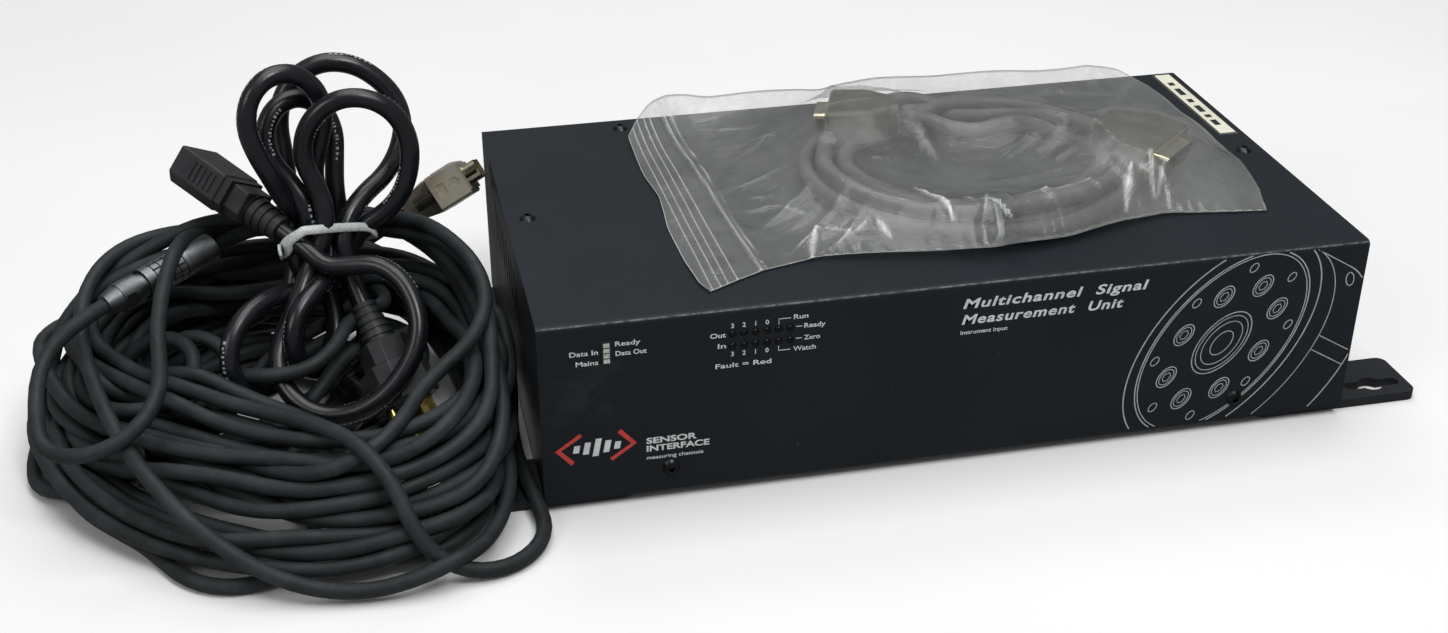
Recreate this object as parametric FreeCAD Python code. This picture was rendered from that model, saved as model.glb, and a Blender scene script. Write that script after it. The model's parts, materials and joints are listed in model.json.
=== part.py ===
import FreeCAD, Part
import math
import os

# Sensor controller unit: a sheet-metal desktop enclosure with four slotted foot
# plates, a front indicator panel, a rear connector panel, its transducer lead and
# mains lead lying loose beside it, and a spare data lead in a clear bag on top.
# Millimetres. +Z up, the front faces -Y, +X is to the right seen from the front.
# Origin: bottom centre of the unit's own bounding box, on the surface it stands on.

# ---------------------------------------------------------------- driving sizes
W = 331.2            # enclosure width
D = 184.0            # enclosure depth
H = 76.2             # enclosure height above the foot plates
T = 1.6              # sheet thickness
R_BEND = 2.2         # outer bend radius of the cover
FOOT_T = 4.0         # foot plate thickness
FOOT_EAR = 37.6      # foot plate reach past the enclosure's side
FOOT_IN = 35.0       # foot plate length under the enclosure
FOOT_Y0, FOOT_Y1 = 3.7, 32.4
FOOT_CORNER = 4.0
SLOT_X = 21.4        # slot centre past the side
SLOT_Y = 13.0        # slot centre behind the front face
SLOT_L, SLOT_W, SLOT_EYE = 25.0, 5.2, 9.6
SCREW_HEAD_D, SCREW_HEAD_H, SCREW_SHANK, SCREW_L = 6.8, 1.9, 3.5, 8.0
SCREW_HEX = 2.2
PROUD_F = SCREW_HEAD_H      # what stands in front of the front face
PROUD_R = 5.2               # what stands behind the rear panel
LEAD_D = 6.0         # transducer lead
MAINS_D = 7.8        # mains lead
DATA_D = 7.0         # spare data lead in the bag

YF = -(D + PROUD_R - PROUD_F) / 2.0
OX, OY, OZ = -W / 2.0, YF, FOOT_T

V = FreeCAD.Vector
os.makedirs("parts", exist_ok=True)


def P(x, y, z):
    """Point given from the enclosure's front left bottom corner."""
    return V(x + OX, y + OY, z + OZ)


def box(x0, y0, z0, x1, y1, z1):
    return Part.makeBox(x1 - x0, y1 - y0, z1 - z0, P(x0, y0, z0))


def cyl(p, d, r, h):
    return Part.makeCylinder(r, h, p, V(*d))


def cone(p, d, r0, r1, h):
    return Part.makeCone(r0, r1, h, p, V(*d))


def face_of(points):
    pts = list(points) + [points[0]]
    return Part.Face(Part.makePolygon(pts))


def prism(points, vec):
    return face_of(points).extrude(vec)


def rrect_wire(cx, cy, w, h, r, to):
    """Rounded rectangle centred on cx, cy; to(u, v) gives the 3-D point."""
    r = min(r, w / 2 - 0.01, h / 2 - 0.01)
    x0, x1, y0, y1 = cx - w / 2, cx + w / 2, cy - h / 2, cy + h / 2
    k = r * (1 - math.sqrt(0.5))
    e = [Part.LineSegment(to(x0 + r, y0), to(x1 - r, y0)).toShape(),
         Part.Arc(to(x1 - r, y0), to(x1 - k, y0 + k), to(x1, y0 + r)).toShape(),
         Part.LineSegment(to(x1, y0 + r), to(x1, y1 - r)).toShape(),
         Part.Arc(to(x1, y1 - r), to(x1 - k, y1 - k), to(x1 - r, y1)).toShape(),
         Part.LineSegment(to(x1 - r, y1), to(x0 + r, y1)).toShape(),
         Part.Arc(to(x0 + r, y1), to(x0 + k, y1 - k), to(x0, y1 - r)).toShape(),
         Part.LineSegment(to(x0, y1 - r), to(x0, y0 + r)).toShape(),
         Part.Arc(to(x0, y0 + r), to(x0 + k, y0 + k), to(x0 + r, y0)).toShape()]
    return Part.Wire(e)


def rprism(cx, cy, w, h, r, to, vec):
    return Part.Face(rrect_wire(cx, cy, w, h, r, to)).extrude(vec)


def hexprism(p, d, af, h):
    """Hexagonal prism, across flats af, from p along d."""
    d = V(*d).normalize()
    u = V(0, 0, 1) if abs(d.z) < 0.9 else V(1, 0, 0)
    u = (u - d * u.dot(d)).normalize()
    w = d.cross(u)
    rc = af / math.sqrt(3)
    pts = [p + u * (rc * math.cos(math.radians(60 * i))) + w * (rc * math.sin(math.radians(60 * i))) for i in range(6)]
    return prism(pts, d * h)


def frame_at(origin, axis, up):
    """Local frame: returns to(x, y, z) with x along axis and z near up."""
    a = V(*axis).normalize()
    c = V(*up)
    c = (c - a * c.dot(a)).normalize()
    b = c.cross(a)
    return lambda x, y, z: origin + a * x + b * y + c * z, a, b, c


def save(name, shape):
    if not shape.isValid():
        print("INVALID", name)
    shape.exportStep("parts/%s.step" % name)
    bb = shape.BoundBox
    print("%-24s vol %10.1f  x %7.1f %7.1f  y %7.1f %7.1f  z %6.1f %6.1f" % (
        name, shape.Volume, bb.XMin, bb.XMax, bb.YMin, bb.YMax, bb.ZMin, bb.ZMax))
    return shape


def tube_path(points, name):
    """Straight runs joined by tangent arcs, as large as the two runs allow."""
    n = len(points)
    edges = []
    last = points[0]
    radii = []
    total = 0.0
    for i in range(1, n - 1):
        a, b, c = points[i - 1], points[i], points[i + 1]
        u = (a - b)
        v = (c - b)
        la, lc = u.Length, v.Length
        u.normalize()
        v.normalize()
        turn = math.pi - u.getAngle(v)
        t = 0.45 * min(la, lc)
        r = t / math.tan(turn / 2)
        radii.append(r)
        p0 = b + u * t
        p1 = b + v * t
        bis = (u + v).normalize()
        centre = b + bis * (r / math.cos(turn / 2))
        mid = centre - bis * r
        edges.append(Part.LineSegment(last, p0).toShape())
        edges.append(Part.Arc(p0, mid, p1).toShape())
        total += (p0 - last).Length + r * turn
        last = p1
    edges.append(Part.LineSegment(last, points[-1]).toShape())
    total += (points[-1] - last).Length
    print("%s: length %.1f, runs %s, arc radii %s" % (
        name, total, [round((points[i + 1] - points[i]).Length, 1) for i in range(n - 1)],
        [round(r, 1) for r in radii]))
    return Part.Wire(edges), total


def tube(points, d, name):
    w, length = tube_path(points, name)
    tangent = (points[1] - points[0])
    circ = Part.Wire([Part.Circle(points[0], tangent, d / 2).toShape()])
    s = w.makePipeShell([circ], True, False, 0)
    ideal = math.pi * d * d / 4 * length
    print("%s: tube volume %.1f against section x length %.1f" % (name, s.Volume, ideal))
    if s.Volume < 0:
        s.reverse()
    return s


def button_screw(p, d):
    """Button-head socket screw; p on the seat, d points out of the head."""
    dv = V(*d).normalize()
    rs = ((SCREW_HEAD_D / 2) ** 2 + SCREW_HEAD_H ** 2) / (2 * SCREW_HEAD_H)
    ball = Part.makeSphere(rs, p + dv * (SCREW_HEAD_H - rs))
    head = ball.common(Part.makeCylinder(SCREW_HEAD_D / 2, SCREW_HEAD_H + 1, p, dv))
    shank = Part.makeCylinder(SCREW_SHANK / 2, SCREW_L, p - dv * SCREW_L, dv)
    s = head.fuse(shank).removeSplitter()
    return s.cut(hexprism(p + dv * (SCREW_HEAD_H - 1.2), (dv.x, dv.y, dv.z), SCREW_HEX, 2))


# ---------------------------------------------------------------- enclosure
TOP_SCREWS = [(8.8, 92.0), (W - 8.8, 92.0), (60.9, D - 9.3), (W - 60.9, D - 9.3)]
FRONT_SCREWS = [(49.0, 10.0), (W - 49.0, 10.0)]
REAR_SCREWS = [(6.5, 12.0), (W - 6.5, 12.0)]
LED_X = [72.9 + 4.42 * i for i in range(6)]
LED_Z = (65.6, 60.5)
BAR_X0, BAR_X1, BAR_Z0, BAR_Z1 = 23.6, 27.4, 58.3, 68.5

# cover: top sheet and front sheet in one bend
prof = [P(0, 0, 0), P(0, 0, H), P(0, D, H), P(0, D, H - T), P(0, T, H - T), P(0, T, 0)]
cover = prism(prof, V(W, 0, 0))
bend = [e for e in cover.Edges if abs(e.BoundBox.YMin - (OY)) < 1e-6 and abs(e.BoundBox.YMax - OY) < 1e-6
        and abs(e.BoundBox.ZMin - (H + OZ)) < 1e-6]
cover = cover.makeFillet(R_BEND, bend)
inner = [e for e in cover.Edges if abs(e.BoundBox.YMin - (OY + T)) < 1e-6 and abs(e.BoundBox.YMax - (OY + T)) < 1e-6
         and abs(e.BoundBox.ZMin - (H - T + OZ)) < 1e-6 and e.BoundBox.XLength > 100]
cover = cover.makeFillet(R_BEND - T + 0.2, inner)
for x, y in TOP_SCREWS:
    cover = cover.cut(cyl(P(x, y, H - T - 1), (0, 0, 1), 1.9, T + 2))
for x, z in FRONT_SCREWS:
    cover = cover.cut(cyl(P(x, -1, z), (0, 1, 0), 1.9, T + 2))
for x in LED_X:
    for z in LED_Z:
        cover = cover.cut(cyl(P(x, -1, z), (0, 1, 0), 1.6, T + 2))
cover = cover.cut(box(BAR_X0, -1, BAR_Z0, BAR_X1, T + 1, BAR_Z1))
save("cover", cover)

# chassis: floor, two sides with top flanges, a front lip behind the cover
G = 0.1
floor_ = box(0, T + G, 0, W, D - T - G, T)
side_l = box(0, T + G, 0, T, D - T - G, H - T - G)
side_r = box(W - T, T + G, 0, W, D - T - G, H - T - G)
fl_l = box(0, T + G + 3, H - 2 * T - G, 16, D - T - G - 3, H - T - G)
fl_r = box(W - 16, T + G + 3, H - 2 * T - G, W, D - T - G - 3, H - T - G)
lip = box(T + 1, T + G, 0, W - T - 1, 2 * T + G, 17)
chassis = floor_.fuse([side_l, side_r, fl_l, fl_r, lip])
for x, y in TOP_SCREWS[:2]:
    chassis = chassis.cut(cyl(P(x, y, H - 12), (0, 0, 1), SCREW_SHANK / 2 + 0.05, 14))
for x, z in FRONT_SCREWS:
    chassis = chassis.cut(cyl(P(x, 0, z), (0, 1, 0), SCREW_SHANK / 2 + 0.05, 12))
# vent slots low on both sides
for i in range(9):
    y = 62 + 9.0 * i
    for x0 in (-1, W - T - 1):
        chassis = chassis.cut(box(x0, y, 46, x0 + T + 2, y + 3, 64))
FOOT_SCREWS = []
for sx in (10.0, 26.0):
    for yy in (10.0, 26.0):
        FOOT_SCREWS += [(sx, yy), (W - sx, yy), (sx, D - yy), (W - sx, D - yy)]
for x, y in FOOT_SCREWS:
    chassis = chassis.cut(cyl(P(x, y, -1), (0, 0, 1), SCREW_SHANK / 2 + 0.05, T + 2))
chassis = chassis.cut(box(-1, 0, H - T - 1.6, W + 1, T + G + 1.4, H))
chassis = chassis.removeSplitter()
save("chassis", chassis)

# rear panel with its top flange and side flanges
REAR_Y = D
rear = box(0, D - T, 0, W, D, H - T - G)
rear = rear.fuse(box(40, D - T - 14, H - 2 * T - G, W - 40, D, H - T - G))
for x, y in TOP_SCREWS[2:]:
    rear = rear.cut(cyl(P(x, y, H - 12), (0, 0, 1), SCREW_SHANK / 2 + 0.05, 14))
# rear-panel devices, positions from the left seen from the front
INLET_X, INLET_Z = 292.0, 38.0
PORTS = [("port_transducer", 60.0, 24.0, 16.7, 33.3), ("port_serial", 118.0, 24.0, 8.4, 25.0), ("port_io", 190.0, 24.0, 30.2, 47.1)]
# name, x, z, shell half-width x2, screw spacing
rear = rear.cut(box(INLET_X - 13.6, D - T - 1, INLET_Z - 28.6, INLET_X + 13.6, D + 1, INLET_Z + 28.6))
for nm, x, z, sw, sp in PORTS:
    rear = rear.cut(rprism(x, z, sw + 8.6, 11.6, 2.5, lambda a, b: P(a, D - T - 1, b), V(0, T + 2, 0)))
    for s in (-1, 1):
        rear = rear.cut(cyl(P(x + s * sp / 2, D - T - 1, z), (0, 1, 0), 1.6, T + 2))
for x, z in REAR_SCREWS:
    rear = rear.cut(cyl(P(x, D - T - 1, z), (0, 1, 0), SCREW_SHANK / 2 + 0.05, T + 2))
rear = rear.removeSplitter()
save("rear_panel", rear)
# corner blocks tie the rear panel to the floor
blocks = None
for x, z in REAR_SCREWS:
    xa, xb = (x - 5.0, x + 4.8) if x > W / 2 else (x - 4.8, x + 5.0)
    b = box(xa, D - T - G - 10, T + 0.05, xb, D - T - G, 20).cut(
        cyl(P(x, D - 14, z), (0, 1, 0), SCREW_SHANK / 2 + 0.05, 14))
    for fx, fy_ in FOOT_SCREWS:
        b = b.cut(cyl(P(fx, fy_, -2), (0, 0, 1), SCREW_SHANK / 2 + 0.05, 12))
    blocks = b if blocks is None else blocks.fuse(b)
save("corner_blocks", blocks)

save("screws_top", Part.makeCompound([button_screw(P(x, y, H), (0, 0, 1)) for x, y in TOP_SCREWS]))
save("screws_front", Part.makeCompound([button_screw(P(x, 0, z), (0, -1, 0)) for x, z in FRONT_SCREWS]))
save("screws_rear", Part.makeCompound([button_screw(P(x, D, z), (0, 1, 0)) for x, z in REAR_SCREWS]))


# ---------------------------------------------------------------- foot plates
def foot(left, front):
    x0, x1 = -FOOT_EAR, FOOT_IN
    y0, y1 = FOOT_Y0, FOOT_Y1
    s = rprism((x0 + x1) / 2, (y0 + y1) / 2, x1 - x0, y1 - y0, FOOT_CORNER, lambda a, b: P(a, b, -FOOT_T), V(0, 0, FOOT_T))
    slot = rprism(-SLOT_X, SLOT_Y, SLOT_L, SLOT_W, SLOT_W / 2 - 0.02, lambda a, b: P(a, b, -FOOT_T - 1), V(0, 0, FOOT_T + 2))
    slot = slot.fuse(cyl(P(-SLOT_X, SLOT_Y, -FOOT_T - 1), (0, 0, 1), SLOT_EYE / 2, FOOT_T + 2))
    s = s.cut(slot)
    for sx in (10.0, 26.0):
        for yy in (10.0, 26.0):
            s = s.cut(cyl(P(sx, yy, -FOOT_T - 1), (0, 0, 1), 1.9, FOOT_T + 2))
            s = s.cut(cone(P(sx, yy, -FOOT_T), (0, 0, 1), 3.6, 1.9, 2.2))
    if not left:
        s = s.mirror(V(0, 0, 0), V(1, 0, 0))
    if not front:
        s = s.mirror(P(0, D / 2, 0), V(0, 1, 0))
    return s


save("foot_front_left", foot(True, True))
save("foot_front_right", foot(False, True))
save("foot_rear_left", foot(True, False))
save("foot_rear_right", foot(False, False))


def csk(x, y):
    a = cone(P(x, y, -FOOT_T + 0.1), (0, 0, 1), 3.45, SCREW_SHANK / 2, 2.0)
    a = a.fuse(cyl(P(x, y, -FOOT_T + 0.1), (0, 0, 1), SCREW_SHANK / 2, FOOT_T + T + 1.5))
    return a.cut(hexprism(P(x, y, -FOOT_T), (0, 0, 1), SCREW_HEX, 1.3))


save("screws_feet", Part.makeCompound([csk(x, y) for x, y in FOOT_SCREWS]))

# ---------------------------------------------------------------- front indicators
PCB_Y = 9.0
board = box(16, PCB_Y, 50, 112, PCB_Y + T, 72.6)
leds = []
for x in LED_X:
    for z in LED_Z:
        body = cyl(P(x, PCB_Y, z), (0, -1, 0), 1.5, PCB_Y + 0.1)
        dome = Part.makeSphere(1.5, P(x, -0.1 + 0.9, z)).common(cyl(P(x, 0.1, z), (0, -1, 0), 1.5, 2))
        foot_ = box(x - 2.0, PCB_Y - 3, z - 2.0, x + 2.0, PCB_Y, z + 2.0)
        leds.append(body.fuse(dome).fuse(foot_))
save("led_lenses", Part.makeCompound(leds))
bez = box(BAR_X0 + 0.1, -0.35, BAR_Z0 + 0.1, BAR_X1 - 0.1, PCB_Y, BAR_Z1 - 0.1)
seg = []
nseg = 4
sh = (BAR_Z1 - BAR_Z0 - 1.4) / nseg
for i in range(nseg):
    z0 = BAR_Z0 + 0.7 + i * sh + 0.2
    cut = box(BAR_X0 + 0.7, -0.6, z0, BAR_X1 - 0.7, 2.0, z0 + sh - 0.4)
    bez = bez.cut(cut)
    seg.append(box(BAR_X0 + 0.75, -0.45, z0 + 0.05, BAR_X1 - 0.75, 1.95, z0 + sh - 0.45))
save("light_bar_bezel", bez)
save("light_bar_segments", Part.makeCompound(seg))
for x in (20.0, 108.0):
    board = board.cut(cyl(P(x, PCB_Y - 1, 54), (0, 1, 0), 1.6, 4))
save("display_board", board)

# ---------------------------------------------------------------- inside
so = []
for x in (20.0, 108.0):
    so.append(hexprism(P(x, T + 0.05, 54), (0, 1, 0), 4.5, PCB_Y - T - 0.1).fuse(cyl(P(x, PCB_Y - 0.1, 54), (0, 1, 0), 1.5, 3)))
MB = (14.0, 24.0, 226.0, 168.0)
for x in (MB[0] + 5, 120.0, MB[2] - 5):
    for y in (MB[1] + 5, MB[3] - 5):
        so.append(hexprism(P(x, y, T + 0.05), (0, 0, 1), 5.0, 6.0).fuse(cyl(P(x, y, T + 5), (0, 0, 1), 1.5, 5)))
save("standoffs", Part.makeCompound(so))
mb = box(MB[0], MB[1], T + 6.1, MB[2], MB[3], T + 6.1 + T)
for x in (MB[0] + 5, 120.0, MB[2] - 5):
    for y in (MB[1] + 5, MB[3] - 5):
        mb = mb.cut(cyl(P(x, y, T), (0, 0, 1), 1.6, 12))
save("main_board", mb)
zt = T + 6.1 + T
chips = []
for cx, cy, w, d, h in [(60, 60, 28, 28, 3), (110, 60, 20, 20, 2.6), (150, 100, 14, 10, 2.5), (60, 110, 18, 8, 2.5),
                        (90, 110, 18, 8, 2.5), (120, 110, 18, 8, 2.5), (190, 60, 24, 24, 4), (45, 145, 12, 12, 6),
                        (195, 120, 16, 12, 8), (80, 145, 10, 8, 5)]:
    chips.append(box(cx - w / 2, cy - d / 2, zt + 0.02, cx + w / 2, cy + d / 2, zt + h))
save("main_board_chips", Part.makeCompound(chips))
psu = box(238, 32, T + 0.05, 318, 140, T + 4).cut(box(244, 38, T, 312, 134, T + 3))
save("psu_tray", psu)
save("psu_transformer", box(246, 40, T + 4.05, 292, 84, T + 36).fuse(box(252, 36, T + 8, 286, 88, T + 32)))
fins = box(298, 40, T + 4.05, 302, 130, T + 44)
for i in range(9):
    fins = fins.fuse(box(302, 42 + i * 10, T + 4.05, 312, 44 + i * 10, T + 44))
save("psu_heatsink", fins.removeSplitter())
caps = [cyl(P(258 + 18 * i, 108, T + 4.05), (0, 0, 1), 7.5, 26) for i in range(2)]
save("psu_capacitors", Part.makeCompound(caps))

# ---------------------------------------------------------------- mains inlet module
ix, iz = INLET_X, INLET_Z
body = box(ix - 13.5, D - 26, iz - 28.5, ix + 13.5, D + 0.05, iz + 28.5)
flange = rprism(ix, iz, 31.0, 61.0, 2.5, lambda a, b: P(a, D + 0.05, b), V(0, 2.6, 0))
inlet = body.fuse(flange)
# socket cavity, upper third; two chamfered corners at the bottom
sz = iz + 14.0
cav = [(-12.2, 8.2), (12.2, 8.2), (12.2, -4.0), (8.0, -8.2), (-8.0, -8.2), (-12.2, -4.0)]
cavity = prism([P(ix + a, D - 16.5, sz + b) for a, b in cav], V(0, 30, 0))
inlet = inlet.cut(cavity)
# fuse drawer pocket, middle
fz = iz - 1.6
inlet = inlet.cut(box(ix - 11.2, D - 24, fz - 4.1, ix + 11.2, D + 5, fz + 4.1))
# rocker pocket, lower third
rz = iz - 17.8
inlet = inlet.cut(box(ix - 10.3, D - 12, rz - 7.3, ix + 10.3, D + 5, rz + 7.3))
# pivot bores of the rocker in the pocket's side walls
inlet = inlet.cut(cyl(P(ix - 12.2, D - 1.2, rz), (1, 0, 0), 1.05, 24.4))
pins = []
for a, b in ((-7.0, -1.6), (7.0, -1.6), (0.0, 3.2)):
    pins.append(box(ix + a - 1.0, D - 26.0, sz + b - 2.1, ix + a + 1.0, D - 3.5, sz + b + 2.1))
inlet_pins = Part.makeCompound(pins)
inlet2 = inlet
for p in pins:
    inlet2 = inlet2.cut(p)
save("inlet_body", inlet2.removeSplitter())
save("inlet_pins", inlet_pins)
# fuse drawer: tray with a handle face, and one cartridge fuse in it
dr = box(ix - 10.9, D - 23.5, fz - 3.8, ix + 10.9, D + 2.75, fz + 3.8)
dr = dr.cut(box(ix - 10.2, D - 22.5, fz - 3.0, ix + 10.2, D - 1.5, fz + 4.0).cut(box(ix - 3, D - 23, fz - 4, ix + 3, D - 13, fz - 1)))
dr = dr.fuse(rprism(ix, fz, 25.0, 9.2, 1.0, lambda a, b: P(a, D + 2.75, b), V(0, 1.6, 0)))
dr = dr.cut(rprism(ix, fz - 2.0, 9.0, 2.6, 1.2, lambda a, b: P(a, D + 3.2, b), V(0, 4, 0)))
save("fuse_drawer", dr.removeSplitter())
fy = D - 8.0
fuse = cyl(P(ix - 10.0, fy, fz + 0.2), (1, 0, 0), 2.6, 20.0)
save("fuse", fuse)
# rocker, at rest with its upper half pressed in
ROCK = 9.0
rk = prism([P(ix - 10.0, D - 5.0, rz - 6.0), P(ix - 10.0, D + 2.2, rz - 6.7), P(ix - 10.0, D + 1.0, rz),
            P(ix - 10.0, D + 2.2, rz + 6.7), P(ix - 10.0, D - 5.0, rz + 6.0)], V(20.0, 0, 0))
rk = rk.fuse(cyl(P(ix - 12.1, D - 1.2, rz), (1, 0, 0), 1.0, 24.2))
rk.rotate(P(ix, D - 1.2, rz), V(1, 0, 0), ROCK)
save("rocker", rk)
pocket = box(ix - 10.3, D - 12, rz - 7.3, ix + 10.3, D + 5, rz + 7.3)
print("rocker pivot", P(ix, D - 1.2, rz), "drawer axis +Y", P(ix, D, fz))


# ---------------------------------------------------------------- data ports
def dshape(to, w, h, depth, slope=1.2, r=1.8):
    """D outline, wider at the top; to(u, v) maps, depth is the extrusion vector."""
    a, b = w / 2, h / 2
    pts = [to(-a, b), to(a, b), to(a - slope, -b), to(-a + slope, -b)]
    s = prism(pts, depth)
    es = [e for e in s.Edges if abs(e.Length - depth.Length) < 1e-6]
    return s.makeFillet(r, es)


ins = []
jacks = []
for nm, x, z, sw, sp in PORTS:
    fl = rprism(x, z, sp + 5.8, 12.5, 1.0, lambda a, b: P(a, D + 0.05, b), V(0, 0.9, 0))
    to = lambda a, b, x=x, z=z: P(x + a, D + 0.05, z + b)
    shell = fl.fuse(dshape(to, sw, 8.0, V(0, 5.0, 0)))
    back = box(x - sw / 2 - 2.5, D - 9, z - 5.2, x + sw / 2 + 2.5, D + 0.05, z + 5.2)
    shell = shell.fuse(back)
    core = dshape(lambda a, b, x=x, z=z: P(x + a, D - 3.0, z + b), sw - 1.0, 7.0, V(0, 8.1, 0), 1.1, 1.5)
    shell = shell.cut(core)
    n = {"port_transducer": 8, "port_serial": 5, "port_io": 13}[nm]
    pin = core
    for row, cnt in ((1, n), (-1, n - 1)):
        for i in range(cnt):
            px = x + (i - (cnt - 1) / 2) * 2.0
            pin = pin.cut(cyl(P(px, D + 1.5, z + row * 1.42), (0, 1, 0), 0.5, 5))
    ins.append(pin)
    for s in (-1, 1):
        jx = x + s * sp / 2
        shell = shell.cut(cyl(P(jx, D - 3, z), (0, 1, 0), 1.55, 6))
        j = hexprism(P(jx, D + 1.0, z), (0, 1, 0), 4.8, PROUD_R - 1.0).fuse(cyl(P(jx, D - 6, z), (0, 1, 0), 1.5, 8))
        jacks.append(j.cut(cyl(P(jx, D + 1.5, z), (0, 1, 0), 1.1, 6)))
    save(nm, shell.removeSplitter())
save("port_inserts", Part.makeCompound(ins))
save("jackscrews", Part.makeCompound(jacks))

# ---------------------------------------------------------------- top sticker
sticker = box(W - 11.6, 110.2, H + 0.02, W - 2.5, D - 1.5, H + 0.22)
save("sticker", sticker)


# ================================================================ loose leads
# Every place below is measured from the enclosure's front left bottom corner.

# ---- transducer lead: hooded connector, coiled lead, round connector
LEAD_PILE = dict(cx=-102.0, cy=73.0, half_x=98.0, half_y=115.0, band=48.0, z0=-FOOT_T, z1=50.0)


def ring_section(x0, x1, z0, z1, to):
    """Rounded section of a coil: wide round shoulders on top, small ones below."""
    r1, r0 = 20.0, 8.0
    k1, k0 = r1 * (1 - math.sqrt(0.5)), r0 * (1 - math.sqrt(0.5))
    e = [Part.LineSegment(to(x0 + r0, z0), to(x1 - r0, z0)).toShape(),
         Part.Arc(to(x1 - r0, z0), to(x1 - k0, z0 + k0), to(x1, z0 + r0)).toShape(),
         Part.LineSegment(to(x1, z0 + r0), to(x1, z1 - r1)).toShape(),
         Part.Arc(to(x1, z1 - r1), to(x1 - k1, z1 - k1), to(x1 - r1, z1)).toShape(),
         Part.LineSegment(to(x1 - r1, z1), to(x0 + r1, z1)).toShape(),
         Part.Arc(to(x0 + r1, z1), to(x0 + k1, z1 - k1), to(x0, z1 - r1)).toShape(),
         Part.LineSegment(to(x0, z1 - r1), to(x0, z0 + r0)).toShape(),
         Part.Arc(to(x0, z0 + r0), to(x0 + k0, z0 + k0), to(x0 + r0, z0)).toShape()]
    return Part.Face(Part.Wire(e))


q = LEAD_PILE
straight = q["half_y"] - q["half_x"]
yf, yb = q["cy"] - straight, q["cy"] + straight
xo, xi = q["half_x"], q["half_x"] - q["band"]
sec_b = ring_section(q["cx"] + xi, q["cx"] + xo, q["z0"], q["z1"], lambda a, b: P(a, yb, b))
sec_f = ring_section(q["cx"] + xi, q["cx"] + xo, q["z0"], q["z1"], lambda a, b: P(a, yf, b))
sec_l = ring_section(q["cx"] - xo, q["cx"] - xi, q["z0"], q["z1"], lambda a, b: P(a, yf, b))
pile = sec_b.revolve(P(q["cx"], yb, 0), V(0, 0, 1), 180)
pile = pile.fuse(sec_f.revolve(P(q["cx"], yf, 0), V(0, 0, 1), -180))
pile = pile.fuse([sec_f.extrude(V(0, yb - yf, 0)), sec_l.extrude(V(0, yb - yf, 0))])
for y0, y1 in ((FOOT_Y0, FOOT_Y1), (D - FOOT_Y1, D - FOOT_Y0)):
    pile = pile.cut(box(-FOOT_EAR - 0.5, y0 - 0.5, -FOOT_T - 1, 1, y1 + 0.5, 0.5))
pile = pile.removeSplitter()
save("lead_pile", pile)

# hooded connector: x runs from the cable entry to the mating face
HOOD_P, HOOD_A, HOOD_UP = P(-36.7, 146.0, 58.0), (0.876, 0.055, 0.471), (-0.43, 0.42, 0.79)
to, ha, hb, hc = frame_at(HOOD_P, HOOD_A, HOOD_UP)
HT = 7.8
THUMB_Y = 16.65
outline = [(0, -6.2), (3, -7.6), (14.6, -12.6), (15.4, -19.6), (30, -19.6), (30, 19.6), (15.4, 19.6), (14.6, 12.6), (3, 7.6), (0, 6.2)]


def hood_blank(z0, z1):
    h = prism([to(x, y, z0) for x, y in outline], hc * (z1 - z0))
    zf = z1 if z1 > 1 else z0
    flat = [e for e in h.Edges if all(abs((v.Point - HOOD_P).dot(hc) - zf) < 1e-4 for v in e.Vertexes)]
    h = h.makeFillet(1.1, flat)
    # the cable end slopes in
    for s in (-1, 1):
        h = h.cut(prism([to(-1, -30, s * 4.6), to(-1, -30, s * 12), to(13, -30, s * 12), to(13, -30, s * (HT + 0.01))], hb * 60))
    h = h.cut(Part.makeCylinder(LEAD_D / 2 + 0.4, 40, to(8, 0, 0), ha))
    h = h.cut(Part.makeCylinder(LEAD_D / 2, 9, to(-0.5, 0, 0), ha))
    h = h.cut(prism([to(12, -9, -5), to(12, -9, 5), to(28.5, -9, 5), to(28.5, -9, -5)], hb * 18))
    # finger recesses and a screw pocket in the narrow sides
    for s in (-1, 1):
        h = h.cut(prism([to(18.0, s * 18.9, -2.6), to(18.0, s * 18.9, 2.6), to(21.6, s * 18.9, 2.6), to(21.6, s * 18.9, -2.6)], hb * (s * 3)))
        h = h.cut(Part.makeCylinder(2.1, 3.0, to(26.0, s * 18.8, 0), hb * s))
    for s in (-1, 1):
        h = h.cut(Part.makeCylinder(1.58, 20, to(13, s * THUMB_Y, 0), ha))
    return h


hu = hood_blank(0.03, HT)
hl = hood_blank(-HT, -0.03)
# two raised bands on the upper half, and two clamp screws
hu = hu.fuse(prism([to(18, -8.5, HT - 0.1), to(27, -8.5, HT - 0.1), to(27, 8.5, HT - 0.1), to(18, 8.5, HT - 0.1)], hc * 0.7))
save("hood_upper", hu.removeSplitter())
save("hood_lower", hl.removeSplitter())
plate = prism([to(30.05, -19.55, -6.2), to(30.05, 19.55, -6.2), to(30.05, 19.55, 6.2), to(30.05, -19.55, 6.2)], ha * 0.9)
dsh = dshape(lambda a, b: to(30.05, a, b), 25.0, 8.3, ha * 6.4)
dsi = dshape(lambda a, b: to(31.6, a, b), 24.0, 7.3, ha * 6.4, 1.1, 1.5)
hsh = plate.fuse(dsh).cut(dsi)
for i in range(8):
    hsh = hsh.fuse(Part.makeCylinder(0.5, 5.4, to(30.6, (i - 3.5) * 2.74, 1.42), ha))
for i in range(7):
    hsh = hsh.fuse(Part.makeCylinder(0.5, 5.4, to(30.6, (i - 3.0) * 2.74, -1.42), ha))
for s in (-1, 1):
    hsh = hsh.cut(Part.makeCylinder(1.6, 4, to(29, s * THUMB_Y, 0), ha))
save("hood_shell", hsh.removeSplitter())
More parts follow.
